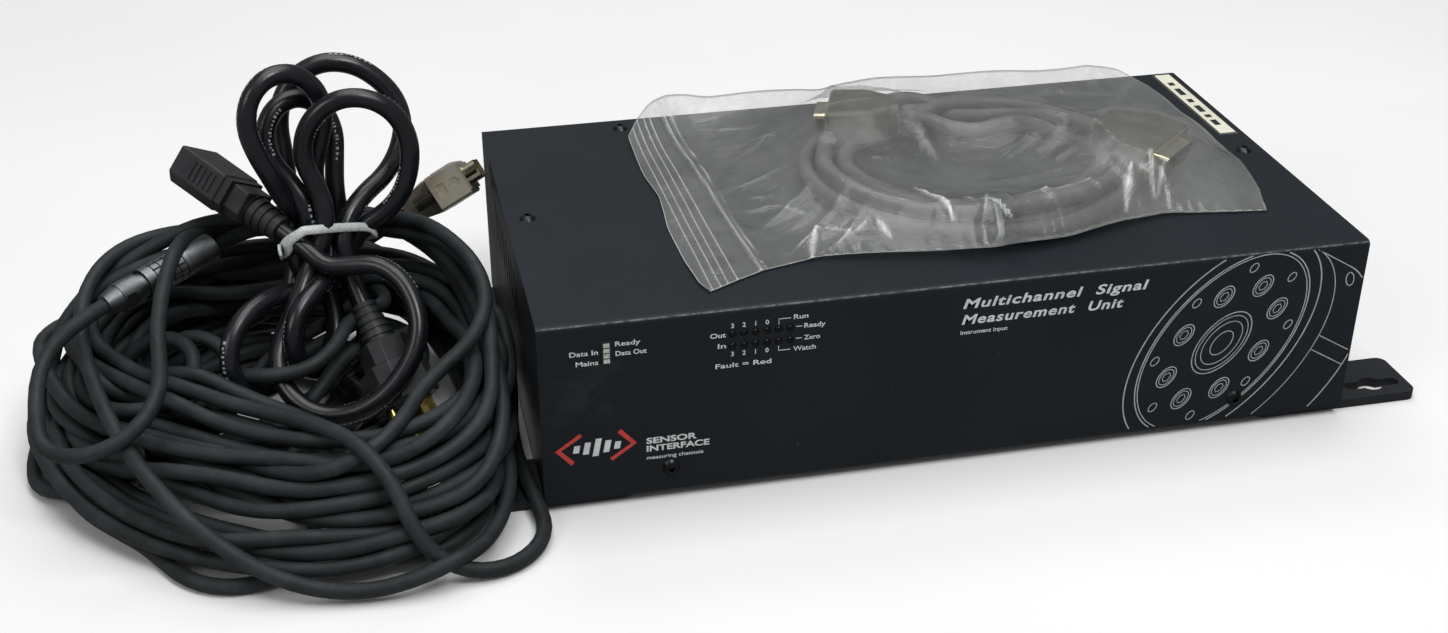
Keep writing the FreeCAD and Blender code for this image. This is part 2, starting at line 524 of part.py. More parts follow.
for i, s in ((1, -1), (2, 1)):
    kn = Part.makeCylinder(3.1, 7.6, to(6.6, s * THUMB_Y, 0), ha)
    for k in range(12):
        an = math.radians(30 * k)
        kn = kn.cut(Part.makeCylinder(0.35, 10, to(6, s * THUMB_Y + 3.1 * math.cos(an), 3.1 * math.sin(an)), ha))
    kn = kn.fuse(Part.makeCylinder(1.5, 22.2, to(13.8, s * THUMB_Y, 0), ha))
    kn = kn.cut(prism([to(5, s * THUMB_Y - 3.5, -0.4), to(5, s * THUMB_Y + 3.5, -0.4), to(5, s * THUMB_Y + 3.5, 0.4),
                       to(5, s * THUMB_Y - 3.5, 0.4)], ha * 2.8))
    save("thumbscrew_%d" % i, kn)
    print("thumbscrew %d axis" % i, ha, "through", to(14, s * THUMB_Y, 0))

# round connector: x runs from the mating end to the cable
CIRC_P, CIRC_A = P(-117.0, 110.0, 68.0), (-0.770, -0.626, -0.092)
to, ca, cb, cc = frame_at(CIRC_P, CIRC_A, (0, 0, 1))
bar = Part.makeCylinder(6.0, 13.0, to(0, 0, 0), ca).fuse(Part.makeCylinder(5.0, 40.0, to(0, 0, 0), ca))
bar = bar.cut(Part.makeCylinder(4.6, 2.2, to(-0.1, 0, 0), ca))
for i in range(8):
    an = math.radians(45 * i)
    bar = bar.fuse(Part.makeCylinder(0.45, 2.2, to(0.4, 2.8 * math.cos(an), 2.8 * math.sin(an)), ca))
bar = bar.cut(Part.makeCylinder(LEAD_D / 2, 12, to(30, 0, 0), ca))
save("round_barrel", bar.removeSplitter())
SL0, SL1 = 13.25, 33.2
sl = Part.makeCylinder(6.3, SL1 - SL0, to(SL0, 0, 0), ca).cut(Part.makeCylinder(5.06, 40, to(5, 0, 0), ca))
for i in range(5):
    x = SL0 + 2.2 + i * 3.3
    sl = sl.cut(Part.makeCylinder(6.6, 0.5, to(x, 0, 0), ca).cut(Part.makeCylinder(5.9, 0.5, to(x, 0, 0), ca)))
for i in range(12):
    an = math.radians(30 * i)
    sl = sl.cut(Part.makeCylinder(0.4, 14.0, to(SL0 + 2.2, 6.35 * math.cos(an), 6.35 * math.sin(an)), ca))
save("round_sleeve", sl)
bd = Part.makeCylinder(6.0, 9.0, to(36.0, 0, 0), ca).cut(Part.makeCylinder(5.02, 4.2, to(35.9, 0, 0), ca))
bd = bd.cut(Part.makeCylinder(LEAD_D / 2, 12, to(35, 0, 0), ca))
for s in (-1, 1):
    bd = bd.cut(prism([to(40, s * 5.5, -8), to(44, s * 5.5, -8), to(44, s * 5.5, 8), to(40, s * 5.5, 8)], cb * (s * 3)))
save("round_body", bd)
nt = Part.makeCone(5.5, 4.1, 6.0, to(45.05, 0, 0), ca).cut(Part.makeCylinder(LEAD_D / 2, 12, to(42, 0, 0), ca))
save("round_nut", nt)
print("sleeve axis", ca)

# its two free ends, from the connectors into the coil
hp = lambda d: P(-36.7, 146.0, 58.0) - ha * d
LEAD_A = [hp(-6.0), hp(14.0), P(-66.0, 143.0, 42.0)]
save("lead_tail_hood", tube(LEAD_A, LEAD_D, "lead_tail_hood"))
LEAD_B = [to(46.0, 0, 0), to(66.0, 0, 0), P(-179.5, 52.0, 55.0), P(-181.0, 34.0, 45.0)]
save("lead_tail_round", tube(LEAD_B, LEAD_D, "lead_tail_round"))


# ---- mains lead: appliance connector, tied hank, plug
def disc(centre, axis_u, axis_v, ru, rv, thick, n=28):
    u, v = V(*axis_u).normalize(), V(*axis_v)
    v = (v - u * v.dot(u)).normalize()
    nrm = u.cross(v)
    pts = [centre + u * (ru * math.cos(2 * math.pi * i / n)) + v * (rv * math.sin(2 * math.pi * i / n)) - nrm * (thick / 2) for i in range(n)]
    return prism(pts, nrm * thick)


up = disc(P(-62.0, 110.0, 113.0), (1, 0, 0), (0, 0.20, 0.98), 34.0, 42.0, 32.0)
lo = disc(P(-62.0, 68.0, 46.0), (1, 0, 0), (0, -0.69, -0.72), 37.0, 44.0, 30.0)
hank = up.fuse(lo).removeSplitter()
save("power_hank", hank)

C13_P, C13_A = P(-88.0, 95.0, 80.0), (-0.66, 0.65, 0.33)
to, pa, pb, pc = frame_at(C13_P, C13_A, (0.583, 0.14, 0.768))
c13 = Part.makeCone(5.2, 7.4, 20.0, to(0, 0, 0), pa).cut(Part.makeCylinder(MAINS_D / 2, 8, to(-0.1, 0, 0), pa))
for i in range(4):
    c13 = c13.cut(Part.makeCylinder(9, 1.2, to(2.5 + 3.6 * i, 0, 0), pa).cut(Part.makeCylinder(4.9 + 0.35 * i, 1.2, to(2.5 + 3.6 * i, 0, 0), pa)))
cw, ch = 12.0, 8.0
sec = [(-cw, ch), (cw, ch), (cw, -3.8), (7.8, -ch), (-7.8, -ch), (-cw, -3.8)]
body = prism([to(26.0, a, b) for a, b in sec], pa * 24.0)
body = body.makeFillet(1.1, body.Edges)
lip = prism([to(23.0, a * 0.93, b * 0.93) for a, b in sec], pa * 5.0)
neck = prism([to(15.0, a * 0.74, b * 0.84) for a, b in sec], pa * 9.5)
neck = neck.makeFillet(0.9, neck.Edges)
c13 = c13.fuse([body, lip, neck])
for s in (-1, 1):
    for i in range(5):
        x = 29.0 + 2.6 * i
        c13 = c13.cut(prism([to(x, s * (cw - 0.5), -2.2), to(x, s * (cw - 0.5), 5.6), to(x + 1.1, s * (cw - 0.5), 5.6),
                             to(x + 1.1, s * (cw - 0.5), -2.2)], pb * (s * 2)))
for a, b in ((-7.0, -1.6), (7.0, -1.6), (0.0, 3.2)):
    c13 = c13.cut(prism([to(34, a - 1.15, b - 2.3), to(34, a + 1.15, b - 2.3), to(34, a + 1.15, b + 2.3), to(34, a - 1.15, b + 2.3)], pa * 20))
c13 = c13.removeSplitter()
save("appliance_connector", c13)
PWR_A = [to(2.0, 0, 0), to(-12.0, 0, 0), P(-73.0, 80.5, 69.5)]

PLUG_P, PLUG_A = P(-59.6, 79.4, 51.3), (0.30, -0.65, -0.70)
to, ga, gb, gc = frame_at(PLUG_P, PLUG_A, (0.75, 0.45, 0.0))
pl = Part.makeCone(5.0, 7.2, 20.0, to(0, 0, 0), ga).cut(Part.makeCylinder(MAINS_D / 2, 8, to(-0.1, 0, 0), ga))
for i in range(5):
    pl = pl.cut(Part.makeCylinder(9, 1.2, to(2.0 + 3.2 * i, 0, 0), ga).cut(Part.makeCylinder(4.8 + 0.3 * i, 1.2, to(2.0 + 3.2 * i, 0, 0), ga)))
ps = [(-9.0, 12.0), (9.0, 12.0), (13.0, 7.0), (13.0, -7.0), (8.0, -12.5), (-8.0, -12.5), (-13.0, -7.0), (-13.0, 7.0)]
grip = prism([to(17.0, a * 0.70, b * 0.70) for a, b in ps], ga * 13.0)
head = prism([to(27.0, a * 0.95, b * 0.95) for a, b in ps], ga * 17.0)
pl = pl.fuse([grip.makeFillet(1.0, grip.Edges), head.makeFillet(1.3, head.Edges)])
save("plug_body", pl.removeSplitter())
bl = []
for s in (-1, 1):
    bl.append(prism([to(44.02, s * 6.35 - 0.75, 1.0), to(44.02, s * 6.35 + 0.75, 1.0), to(44.02, s * 6.35 + 0.75, 7.3), to(44.02, s * 6.35 - 0.75, 7.3)], ga * 15.9))
save("plug_blades", Part.makeCompound(bl))
gp = Part.makeCylinder(2.4, 19.0, to(44.02, 0, -7.9), ga).fuse(Part.makeSphere(2.4, to(63.02, 0, -7.9)))
save("plug_ground_pin", gp)
PWR_B = [to(2.0, 0, 0), to(-12.0, 0, 0), P(-65.5, 92.0, 75.0)]
save("power_tail_connector", tube(PWR_A, MAINS_D, "power_tail_connector"))
save("power_tail_plug", tube(PWR_B, MAINS_D, "power_tail_plug"))

# tie: a flat strap looped round the neck of the hank
TIE_C = P(-73.0, 95.0, 73.0)
u, v = V(1, 0, 0).normalize(), V(0, 0.97, -0.24)
v = (v - u * v.dot(u)).normalize()
nrm = u.cross(v)


def oval(ru, rv, w):
    pts = [TIE_C + u * (ru * math.cos(2 * math.pi * i / 32)) + v * (rv * math.sin(2 * math.pi * i / 32)) - nrm * (w / 2) for i in range(32)]
    return prism(pts, nrm * w)


save("cord_tie", oval(19.0, 18.0, 8.0).cut(oval(17.6, 16.6, 12.0)))

# ================================================================ bag on top
BZ = H + 0.05
BAG = [(68, 13), (69, 75), (66.5, 140), (71, 167), (130, 170), (180, 169), (230, 170), (288, 169), (300, 160), (310, 120), (315, 84),
       (304, 35), (278, 30), (228, 17), (200, 14), (160, 15), (130, 17), (100, 14), (84, 11)]


def bag_solid(inset, floor_z, edge_z, top_z):
    cx, cy = 200.0, 95.0
    sc = lambda p: (cx + (p[0] - cx) * (1 - inset / 110.0), cy + (p[1] - cy) * (1 - inset / 80.0))
    slab = prism([P(x, y, floor_z) for x, y in [sc(p) for p in BAG]], V(0, 0, edge_z - floor_z))
    lower = rrect_wire(206.0, 92.0, 190.0 - 2 * inset, 152.0 - 2 * inset, 52.0 - inset, lambda a, b: P(a, b, floor_z))
    upper = rrect_wire(206.0, 92.0, 160.0 - 2 * inset, 122.0 - 2 * inset, 40.0 - inset, lambda a, b: P(a, b, top_z))
    mid = lower.copy()
    mid.translate(V(0, 0, 10.0 - inset))
    skirt = Part.Face(lower).extrude(V(0, 0, 10.0 - inset))
    dome = Part.makeLoft([mid, upper], True, True)
    return slab.fuse([skirt, dome])


outer = bag_solid(0.0, BZ, BZ + 3.0, BZ + 28.0)
innr = bag_solid(1.0, BZ + 0.6, BZ + 2.3, BZ + 27.3)
bag = outer.cut(innr)
save("bag", bag)
COIL = (196.0, 91.0, 146.0, 134.0)
co = rprism(COIL[0], COIL[1], COIL[2], COIL[3], 64.0, lambda a, b: P(a, b, BZ + 1.0), V(0, 0, 15.0))
co = co.cut(rprism(COIL[0], COIL[1], COIL[2] - 66, COIL[3] - 66, 34.0, lambda a, b: P(a, b, BZ), V(0, 0, 30)))
save("bag_coil", co)


def bag_plug(name, origin, axis, up, half, dw, pins):
    to, a, b, c = frame_at(origin, axis, up)
    h = prism([to(0, -half * 0.4, -6.5), to(0, half * 0.4, -6.5), to(16, half, -6.5), to(30, half, -6.5), to(30, -half, -6.5), to(16, -half, -6.5)], c * 13.0)
    h = h.cut(Part.makeCylinder(DATA_D / 2, 6, to(-0.5, 0, 0), a))
    save(name, h)
    sh = prism([to(30.05, -half + 0.2, -6.0), to(30.05, half - 0.2, -6.0), to(30.05, half - 0.2, 6.0), to(30.05, -half + 0.2, 6.0)], a * 0.9)
    sh = sh.fuse(dshape(lambda p, q_: to(30.05, p, q_), dw, 8.3, a * 6.2)).cut(dshape(lambda p, q_: to(31.5, p, q_), dw - 1.0, 7.3, a * 6.4, 1.1, 1.5))
    for i in range(pins):
        sh = sh.fuse(Part.makeCylinder(0.5, 5.0, to(30.6, (i - (pins - 1) / 2) * 2.74, 1.42), a))
    for i in range(pins - 1):
        sh = sh.fuse(Part.makeCylinder(0.5, 5.0, to(30.6, (i - (pins - 2) / 2) * 2.74, -1.42), a))
    save(name.replace("plug", "shell"), sh)


bag_plug("bag_plug_a", P(254.0, 92.0, BZ + 16.5), (0.66, -0.75, -0.12), (0, 0, 1), 19.0, 25.0, 8)
bag_plug("bag_plug_b", P(174.0, 121.0, BZ + 17.5), (-0.86, 0.33, -0.06), (0, 0, 1), 15.0, 17.0, 5)
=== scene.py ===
import bpy, bmesh, json, math, random
import numpy as np
from mathutils import Vector, Matrix


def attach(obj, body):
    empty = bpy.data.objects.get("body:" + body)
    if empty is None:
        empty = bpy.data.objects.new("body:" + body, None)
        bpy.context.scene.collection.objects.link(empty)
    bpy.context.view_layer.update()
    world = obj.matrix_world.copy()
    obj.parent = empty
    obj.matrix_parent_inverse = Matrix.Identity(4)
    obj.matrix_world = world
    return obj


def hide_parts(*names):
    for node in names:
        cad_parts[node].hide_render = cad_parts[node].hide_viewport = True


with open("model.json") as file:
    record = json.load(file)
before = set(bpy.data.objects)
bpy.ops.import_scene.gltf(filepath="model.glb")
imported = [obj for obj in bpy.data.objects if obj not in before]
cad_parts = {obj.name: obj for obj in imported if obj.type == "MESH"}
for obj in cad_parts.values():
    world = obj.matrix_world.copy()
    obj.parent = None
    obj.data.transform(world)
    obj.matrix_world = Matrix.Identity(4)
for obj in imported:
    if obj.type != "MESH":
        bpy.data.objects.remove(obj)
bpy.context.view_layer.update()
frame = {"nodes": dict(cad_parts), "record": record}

# Sensor controller unit with its leads. Metres, the row frame: origin at the
# bottom centre of the unit, +Z up, the front faces -Y.
NODES = frame["nodes"]
SC = bpy.context.scene
W, D, H = 331.2, 184.0, 76.2
OFF = Vector((-W / 2, -93.65, 4.0))


def P(x, y, z):
    """Millimetres from the enclosure's front left bottom corner, to metres in the row frame."""
    return (Vector((x, y, z)) + OFF) / 1000.0


# ------------------------------------------------------------------ camera
cam_data = bpy.data.cameras.new("camera")
cam = bpy.data.objects.new("camera", cam_data)
SC.collection.objects.link(cam)
right = Vector((0.976098528, -0.217328258, 0.000303073))
up = Vector((0.10508529, 0.473195185, 0.874667593))
back = Vector((-0.190233397, -0.853729902, 0.484723126))
rot = Matrix((right, up, back)).transposed()
cam.matrix_world = Matrix.Translation(Vector((-0.22571, -0.67607, 0.40813))) @ rot.to_4x4()
cam_data.sensor_width = 36.0
cam_data.lens = 46.0376
cam_data.clip_start = 0.02
cam_data.clip_end = 50
cam_data.dof.use_dof = False
SC.camera = cam
SC.view_settings.view_transform = "Standard"
SC.view_settings.look = "None"
SC.view_settings.exposure = 0.0


# ------------------------------------------------------------------ materials
def srgb(h):
    h = h.lstrip("#")
    c = [int(h[i:i + 2], 16) / 255 for i in (0, 2, 4)]
    return tuple((x / 12.92 if x <= 0.04045 else ((x + 0.055) / 1.055) ** 2.4) for x in c)


class NT:
    """Small helper to build node trees."""

    def __init__(self, name):
        self.m = bpy.data.materials.new(name)
        self.m.use_nodes = True
        self.t = self.m.node_tree
        self.bsdf = self.t.nodes["Principled BSDF"]
        self.out = self.t.nodes["Material Output"]
        self.tc = self.t.nodes.new("ShaderNodeTexCoord")

    def n(self, kind, **kw):
        x = self.t.nodes.new(kind)
        for k, v in kw.items():
            setattr(x, k, v)
        return x

    def link(self, a, b):
        self.t.links.new(a, b)

    def noise(self, scale, detail=4.0, rough=0.55, dist=0.0, stretch=None, w=None):
        x = self.n("ShaderNodeTexNoise")
        x.inputs["Scale"].default_value = scale
        x.inputs["Detail"].default_value = detail
        x.inputs["Roughness"].default_value = rough
        x.inputs["Distortion"].default_value = dist
        src = self.tc.outputs["Object"]
        if stretch or w:
            mp = self.n("ShaderNodeMapping")
            if stretch:
                mp.inputs["Scale"].default_value = stretch
            if w:
                mp.inputs["Location"].default_value = w
            self.link(src, mp.inputs["Vector"])
            src = mp.outputs["Vector"]
        self.link(src, x.inputs["Vector"])
        return x.outputs["Fac"]

    def ramp(self, fac, stops, interp="LINEAR"):
        r = self.n("ShaderNodeValToRGB")
        r.color_ramp.interpolation = interp
        el = r.color_ramp.elements
        while len(el) > 1:
            el.remove(el[-1])
        for i, (p, c) in enumerate(stops):
            c = (c, c, c, 1) if isinstance(c, (int, float)) else tuple(c) + (1,)
            if i == 0:
                el[0].position, el[0].color = p, c
            else:
                e = el.new(p)
                e.color = c
        self.link(fac, r.inputs["Fac"])
        return r.outputs["Color"]

    def rng(self, fac, a, b, lo=0.3, hi=0.7):
        r = self.n("ShaderNodeMapRange")
        r.inputs["From Min"].default_value = lo
        r.inputs["From Max"].default_value = hi
        r.inputs["To Min"].default_value = a
        r.inputs["To Max"].default_value = b
        self.link(fac, r.inputs["Value"])
        return r.outputs["Result"]

    def mix(self, fac, a, b, mode="MIX"):
        x = self.n("ShaderNodeMix", data_type="RGBA", blend_type=mode)
        for s, v in ((x.inputs[0], fac), (x.inputs[6], a), (x.inputs[7], b)):
            if isinstance(v, bpy.types.NodeSocket):
                self.link(v, s)
            elif isinstance(v, (int, float)):
                s.default_value = v
            else:
                s.default_value = tuple(v) + (1,)
        return x.outputs[2]

    def math(self, op, a, b=0.0):
        x = self.n("ShaderNodeMath", operation=op)
        for s, v in ((x.inputs[0], a), (x.inputs[1], b)):
            if isinstance(v, bpy.types.NodeSocket):
                self.link(v, s)
            else:
                s.default_value = v
        return x.outputs[0]

    def bump(self, height, strength, dist, after=None):
        x = self.n("ShaderNodeBump")
        x.inputs["Strength"].default_value = strength
        x.inputs["Distance"].default_value = dist
        self.link(height, x.inputs["Height"])
        if after is not None:
            self.link(after, x.inputs["Normal"])
        return x.outputs["Normal"]

    def set(self, **kw):
        names = dict(color="Base Color", rough="Roughness", metal="Metallic", normal="Normal", spec="Specular IOR Level",
                     coat="Coat Weight", coat_rough="Coat Roughness", alpha="Alpha", trans="Transmission Weight", ior="IOR",
                     sheen="Sheen Weight", sheen_rough="Sheen Roughness", aniso="Anisotropic", sss="Subsurface Weight",
                     emis="Emission Color", emis_s="Emission Strength")
        for k, v in kw.items():
            s = self.bsdf.inputs[names[k]]
            if isinstance(v, bpy.types.NodeSocket):
                self.link(v, s)
            elif isinstance(v, (int, float)):
                s.default_value = v
            else:
                s.default_value = tuple(v) + (1,) if len(v) == 3 and s.type == "RGBA" else v
        return self.m


MATS = {}


def generic(name, base, dark=None, rough=(0.4, 0.55), metal=0.0, big=35.0, fine=900.0, bump=0.2, depth=0.0002,
            spec=0.5, coat=0.0, speck=None, stretch=None, amount=0.5):
    """A moulded, painted or plated surface: broad tone change, fine grain, and worn or dusty specks."""
    t = NT(name)
    dark = dark or tuple(c * 0.72 for c in base)
    n1 = t.noise(big, 5, 0.6, 0.3)
    col = t.mix(t.rng(n1, 0.0, 1.0, 0.35, 0.68), dark, base)
    n2 = t.noise(fine, 3, 0.5, stretch=stretch)
    col = t.mix(t.rng(n2, 0.0, amount, 0.4, 0.75), col, tuple(min(1, c * 1.35 + 0.004) for c in base))
    if speck:
        n3 = t.noise(big * 14, 6, 0.7, 0.5, w=(3.1, 1.7, 0.4))
        col = t.mix(t.rng(n3, 0.0, speck[0], 0.62, 0.74), col, speck[1])
    r = t.rng(t.noise(big * 2.3, 5, 0.6, w=(7, 3, 1)), rough[0], rough[1])
    nb = t.bump(n2, bump, depth)
    MATS[name] = t.set(color=col, rough=r, metal=metal, normal=nb, spec=spec, coat=coat)
    return MATS[name]


def powder(name, base, rough, fine=2600.0, strength=0.28, bend=None):
    """Powder coat: orange peel, fine sand texture, soft dust and a few rub marks; bend gives a painted highlight along
    the fold line at (y, z), broken into specks.
    """
    t = NT(name)
    n1 = t.noise(9, 4, 0.6, 0.4)
    col = t.mix(t.rng(n1, 0.0, 1.0, 0.35, 0.65), tuple(c * 0.86 for c in base), tuple(c * 1.12 for c in base))
    dust = t.noise(420, 6, 0.75, 0.2, w=(1.3, 8.1, 0.2))
    col = t.mix(t.rng(dust, 0.0, 0.35, 0.66, 0.78), col, (0.22, 0.22, 0.22))
    sc = t.noise(30, 7, 0.7, 1.2, stretch=(0.35, 3.0, 1.0))
    col = t.mix(t.rng(sc, 0.0, 0.05, 0.66, 0.72), col, (0.13, 0.13, 0.14))
    # painted highlight: a lighter grey line along the bend, broken into specks
    if bend:
        xyz = t.n("ShaderNodeSeparateXYZ")
        t.link(t.tc.outputs["Object"], xyz.inputs[0])
        dy = t.math("SUBTRACT", xyz.outputs[1], bend[0])
        dz = t.math("SUBTRACT", xyz.outputs[2], bend[1])
        dist = t.math("SQRT", t.math("ADD", t.math("MULTIPLY", dy, dy), t.math("MULTIPLY", dz, dz)))
        bend_highlight_mask = t.rng(dist, 1.0, 0.0, bend[2], bend[3])
        col = t.mix(t.math("MULTIPLY", bend_highlight_mask, t.rng(t.noise(420, 6, 0.7, w=(3, 3, 1)), 0.15, 1.0, 0.42, 0.6)), col, (0.14, 0.145, 0.145))
    r = t.rng(t.noise(24, 5, 0.6, w=(4, 4, 4)), rough[0], rough[1])
    f = t.noise(fine, 2, 0.5)
    peel = t.noise(520, 2, 0.4)
    nb = t.bump(f, strength, 0.00012, after=t.bump(peel, 0.22, 0.0002))
    MATS[name] = t.set(color=col, rough=r, normal=nb, spec=0.24)
    return MATS[name]


def plated(name, base, warm, rough=(0.18, 0.42), fine=700.0, brushed=None, dark=None, depth=0.00012, metal=1.0):
    """Plated or bare metal: warm and cool patches, fine scratches, dark grime patches at random."""
    t = NT(name)
    n1 = t.noise(85, 6, 0.62, 0.8)
    col = t.mix(t.rng(n1, 0.0, 1.0, 0.36, 0.66), base, warm)
    n4 = t.noise(240, 5, 0.7, 1.0, w=(2, 5, 1))
    col = t.mix(t.rng(n4, 0.0, 0.75, 0.60, 0.74), col, dark or tuple(c * 0.35 for c in base))
    s = t.noise(fine, 3, 0.6, stretch=brushed or (1, 1, 1))
    r = t.rng(t.noise(160, 5, 0.6, w=(9, 1, 2)), rough[0], rough[1])
    MATS[name] = t.set(color=col, rough=r, metal=metal, normal=t.bump(s, 0.25, depth), spec=0.5)
    return MATS[name]


def jacket(name, base, light, rough, spec, streak=0.35, fine=1600.0, depth=0.0001, wave=0.0):
    """Extruded cable jacket: handling marks, dull and shiny patches, slight surface flow."""
    t = NT(name)
    n1 = t.noise(38, 6, 0.65, 0.7)
    col = t.mix(t.rng(n1, 0.0, 1.0, 0.38, 0.66), base, light)
    n2 = t.noise(260, 6, 0.72, 0.8, w=(5, 2, 8))
    col = t.mix(t.rng(n2, 0.0, streak, 0.58, 0.76), col, tuple(min(1, c * 2.4 + 0.01) for c in light))
    n3 = t.noise(95, 4, 0.6, w=(1, 9, 4))
    r = t.rng(n3, rough[0], rough[1])
    f = t.noise(fine, 3, 0.6)
    n = t.bump(f, 0.2, depth)
    if wave:
        n = t.bump(t.noise(150, 2, 0.4, w=(2, 2, 7)), wave, 0.0006, after=n)
    MATS[name] = t.set(color=col, rough=r, normal=n, spec=spec)
    return MATS[name]


# the bend values place a painted highlight along the cover's top front fold
powder("cover_paint", srgb("#161c22"), (0.46, 0.58), bend=(-0.09365, 0.0802, 0.00092, 0.00108))
powder("chassis_paint", srgb("#16191b"), (0.42, 0.54))
generic("foot_paint", srgb("#1e2125"), rough=(0.36, 0.5), big=28, fine=1500, bump=0.12, spec=0.3, speck=(0.35, (0.12, 0.12, 0.12)))
plated("black_screw", srgb("#2b2c2e"), srgb("#3b3b3c"), rough=(0.26, 0.42), fine=1500)
plated("zinc_steel", srgb("#b8b9b6"), srgb("#c8c2a4"), rough=(0.25, 0.4))
generic("black_plastic", srgb("#232425"), rough=(0.38, 0.52), big=60, fine=1800, bump=0.3, depth=0.0001)
plated("heatsink", srgb("#c6c7c9"), srgb("#aeb0b3"), rough=(0.3, 0.45), brushed=(1, 0.05, 1))
generic("transformer", srgb("#8b6a3a"), srgb("#5f4a2c"), rough=(0.3, 0.5), fine=500)
plated("nickel", srgb("#cbc7b8"), srgb("#ddd2ae"), rough=(0.16, 0.32), dark=srgb("#9a9280"))
plated("brass", srgb("#b49a55"), srgb("#d0be7c"), rough=(0.2, 0.38), fine=1200, brushed=(0.1, 1, 1), dark=srgb("#4a3f22"))
plated("hood_metal", srgb("#c2bfb4"), srgb("#cfc6ad"), rough=(0.16, 0.30), fine=420, dark=srgb("#8d8778"), depth=0.0001, metal=0.72)
plated("zinc_hood", srgb("#5f5c54"), srgb("#6e6a5e"), rough=(0.38, 0.5), fine=420, dark=srgb("#6f6b60"), metal=0.8)
plated("dark_metal", srgb("#4d4a43"), srgb("#6d675a"), rough=(0.28, 0.45), dark=srgb("#1b1a18"))
plated("round_metal", srgb("#5c5f62"), srgb("#777a7b"), rough=(0.36, 0.50), fine=900, dark=srgb("#3a3c3e"))
jacket("lead_jacket", srgb("#1e2224"), srgb("#2d3335"), (0.50, 0.68), 0.28, streak=0.30, wave=0.10)
jacket("mains_jacket", srgb("#0e1014"), srgb("#181a1f"), (0.20, 0.36), 0.5, streak=0.08, wave=0.10)
jacket("data_jacket", srgb("#4b4c4b"), srgb("#656563"), (0.42, 0.58), 0.4, streak=0.12)
generic("mains_moulding", srgb("#25272a"), srgb("#191b1d"), rough=(0.42, 0.6), big=70, fine=1400, bump=0.35, depth=0.00016, spec=0.4,
        speck=(0.3, (0.10, 0.10, 0.10)))
generic("tie_strap", srgb("#c3c8c6"), srgb("#9ba19f"), rough=(0.25, 0.42), big=90, fine=1400, bump=0.2, spec=0.5, amount=0.8)
generic("sticker_paper", srgb("#e4e2d2"), srgb("#d2cfbc"), rough=(0.35, 0.5), big=60, fine=2400, bump=0.15, depth=0.00006)
generic("ink_white", srgb("#c9cccc"), srgb("#aeb2b3"), rough=(0.45, 0.6), big=200, fine=3000, bump=0.2, depth=0.00004, amount=0.3)
generic("ink_grey", srgb("#a3a8aa"), srgb("#8b9092"), rough=(0.45, 0.6), big=200, fine=3000, bump=0.2, depth=0.00004, amount=0.3)
generic("ink_red", srgb("#c8352b"), srgb("#a9281f"), rough=(0.4, 0.55), big=200, fine=3000, bump=0.2, depth=0.00004, amount=0.3)
generic("ink_dark", srgb("#1b1c1d"), srgb("#121314"), rough=(0.45, 0.6), big=200, fine=3000, bump=0.2, depth=0.00004)


def m_lens():
    t = NT("led_lens")
    n = t.noise(500, 3)
    # near black lens: a dark dome, darkened further as painted shade for the hollow round each lamp
    col = t.mix(t.rng(n, 0, 1), srgb("#020202"), srgb("#070707"))
    return t.set(color=col, rough=t.rng(t.noise(300, 3), 0.12, 0.22), coat=0.0, coat_rough=0.1, spec=0.3,
                 normal=t.bump(t.noise(1500, 2), 0.05, 0.0001))


MATS["led_lens"] = m_lens()


def m_bar():
    t = NT("light_bar")
    n = t.noise(900, 4)
    col = t.mix(t.rng(n, 0, 1), srgb("#8d918c"), srgb("#c4c7c0"))
    return t.set(color=col, rough=t.rng(t.noise(700, 3), 0.15, 0.3), coat=0.4, coat_rough=0.1,
                 normal=t.bump(t.noise(2200, 2), 0.15, 0.0001))


MATS["light_bar"] = m_bar()


def m_board():
    t = NT("circuit_board")
    br = t.n("ShaderNodeTexBrick")
    mp = t.n("ShaderNodeMapping")
    mp.inputs["Scale"].default_value = (1, 1, 1)
    t.link(t.tc.outputs["Object"], mp.inputs["Vector"])
    t.link(mp.outputs["Vector"], br.inputs["Vector"])
    br.inputs["Scale"].default_value = 260
    br.inputs["Mortar Size"].default_value = 0.06
    br.inputs["Color1"].default_value = srgb("#0f4a2c") + (1,)
    br.inputs["Color2"].default_value = srgb("#14583a") + (1,)
    br.inputs["Mortar"].default_value = srgb("#2f7d58") + (1,)
    n = t.noise(120, 5)
    col = t.mix(t.rng(n, 0, 0.6), br.outputs["Color"], srgb("#0b3a22"))
    return t.set(color=col, rough=t.rng(t.noise(90, 3), 0.25, 0.42), normal=t.bump(br.outputs["Fac"], 0.2, 0.0001), coat=0.3)


MATS["circuit_board"] = m_board()


def m_fuse():
    t = NT("fuse_glass")
    n = t.noise(300, 3)
    return t.set(color=t.mix(t.rng(n, 0, 1), srgb("#cfd6d6"), srgb("#e6ebeb")), rough=t.rng(t.noise(200, 3), 0.03, 0.1),
                 trans=0.75, ior=1.5, normal=t.bump(n, 0.03, 0.0001))


MATS["fuse_glass"] = m_fuse()


def m_floor():
    t = NT("floor_white")
    n = t.noise(3, 4)
    return t.set(color=t.mix(t.rng(n, 0, 1), (0.86, 0.86, 0.86), (0.90, 0.90, 0.90)), rough=0.75, spec=0.2,
                 normal=t.bump(t.noise(400, 2), 0.03, 0.0002))


MATS["floor_white"] = m_floor()


# ------------------------------------------------------------------ helpers for pieces
def mesh_obj(name, verts, faces, mat, smooth=False, body="root"):
    me = bpy.data.meshes.new(name)
    me.from_pydata([tuple(v) for v in verts], [], [tuple(f) for f in faces])
    me.validate()
    me.update()
    o = bpy.data.objects.new(name, me)
    SC.collection.objects.link(o)
    me.materials.append(MATS[mat] if isinstance(mat, str) else mat)
    if smooth:
        for p in me.polygons:
            p.use_smooth = True
    if body:
        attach(o, body)
    return o


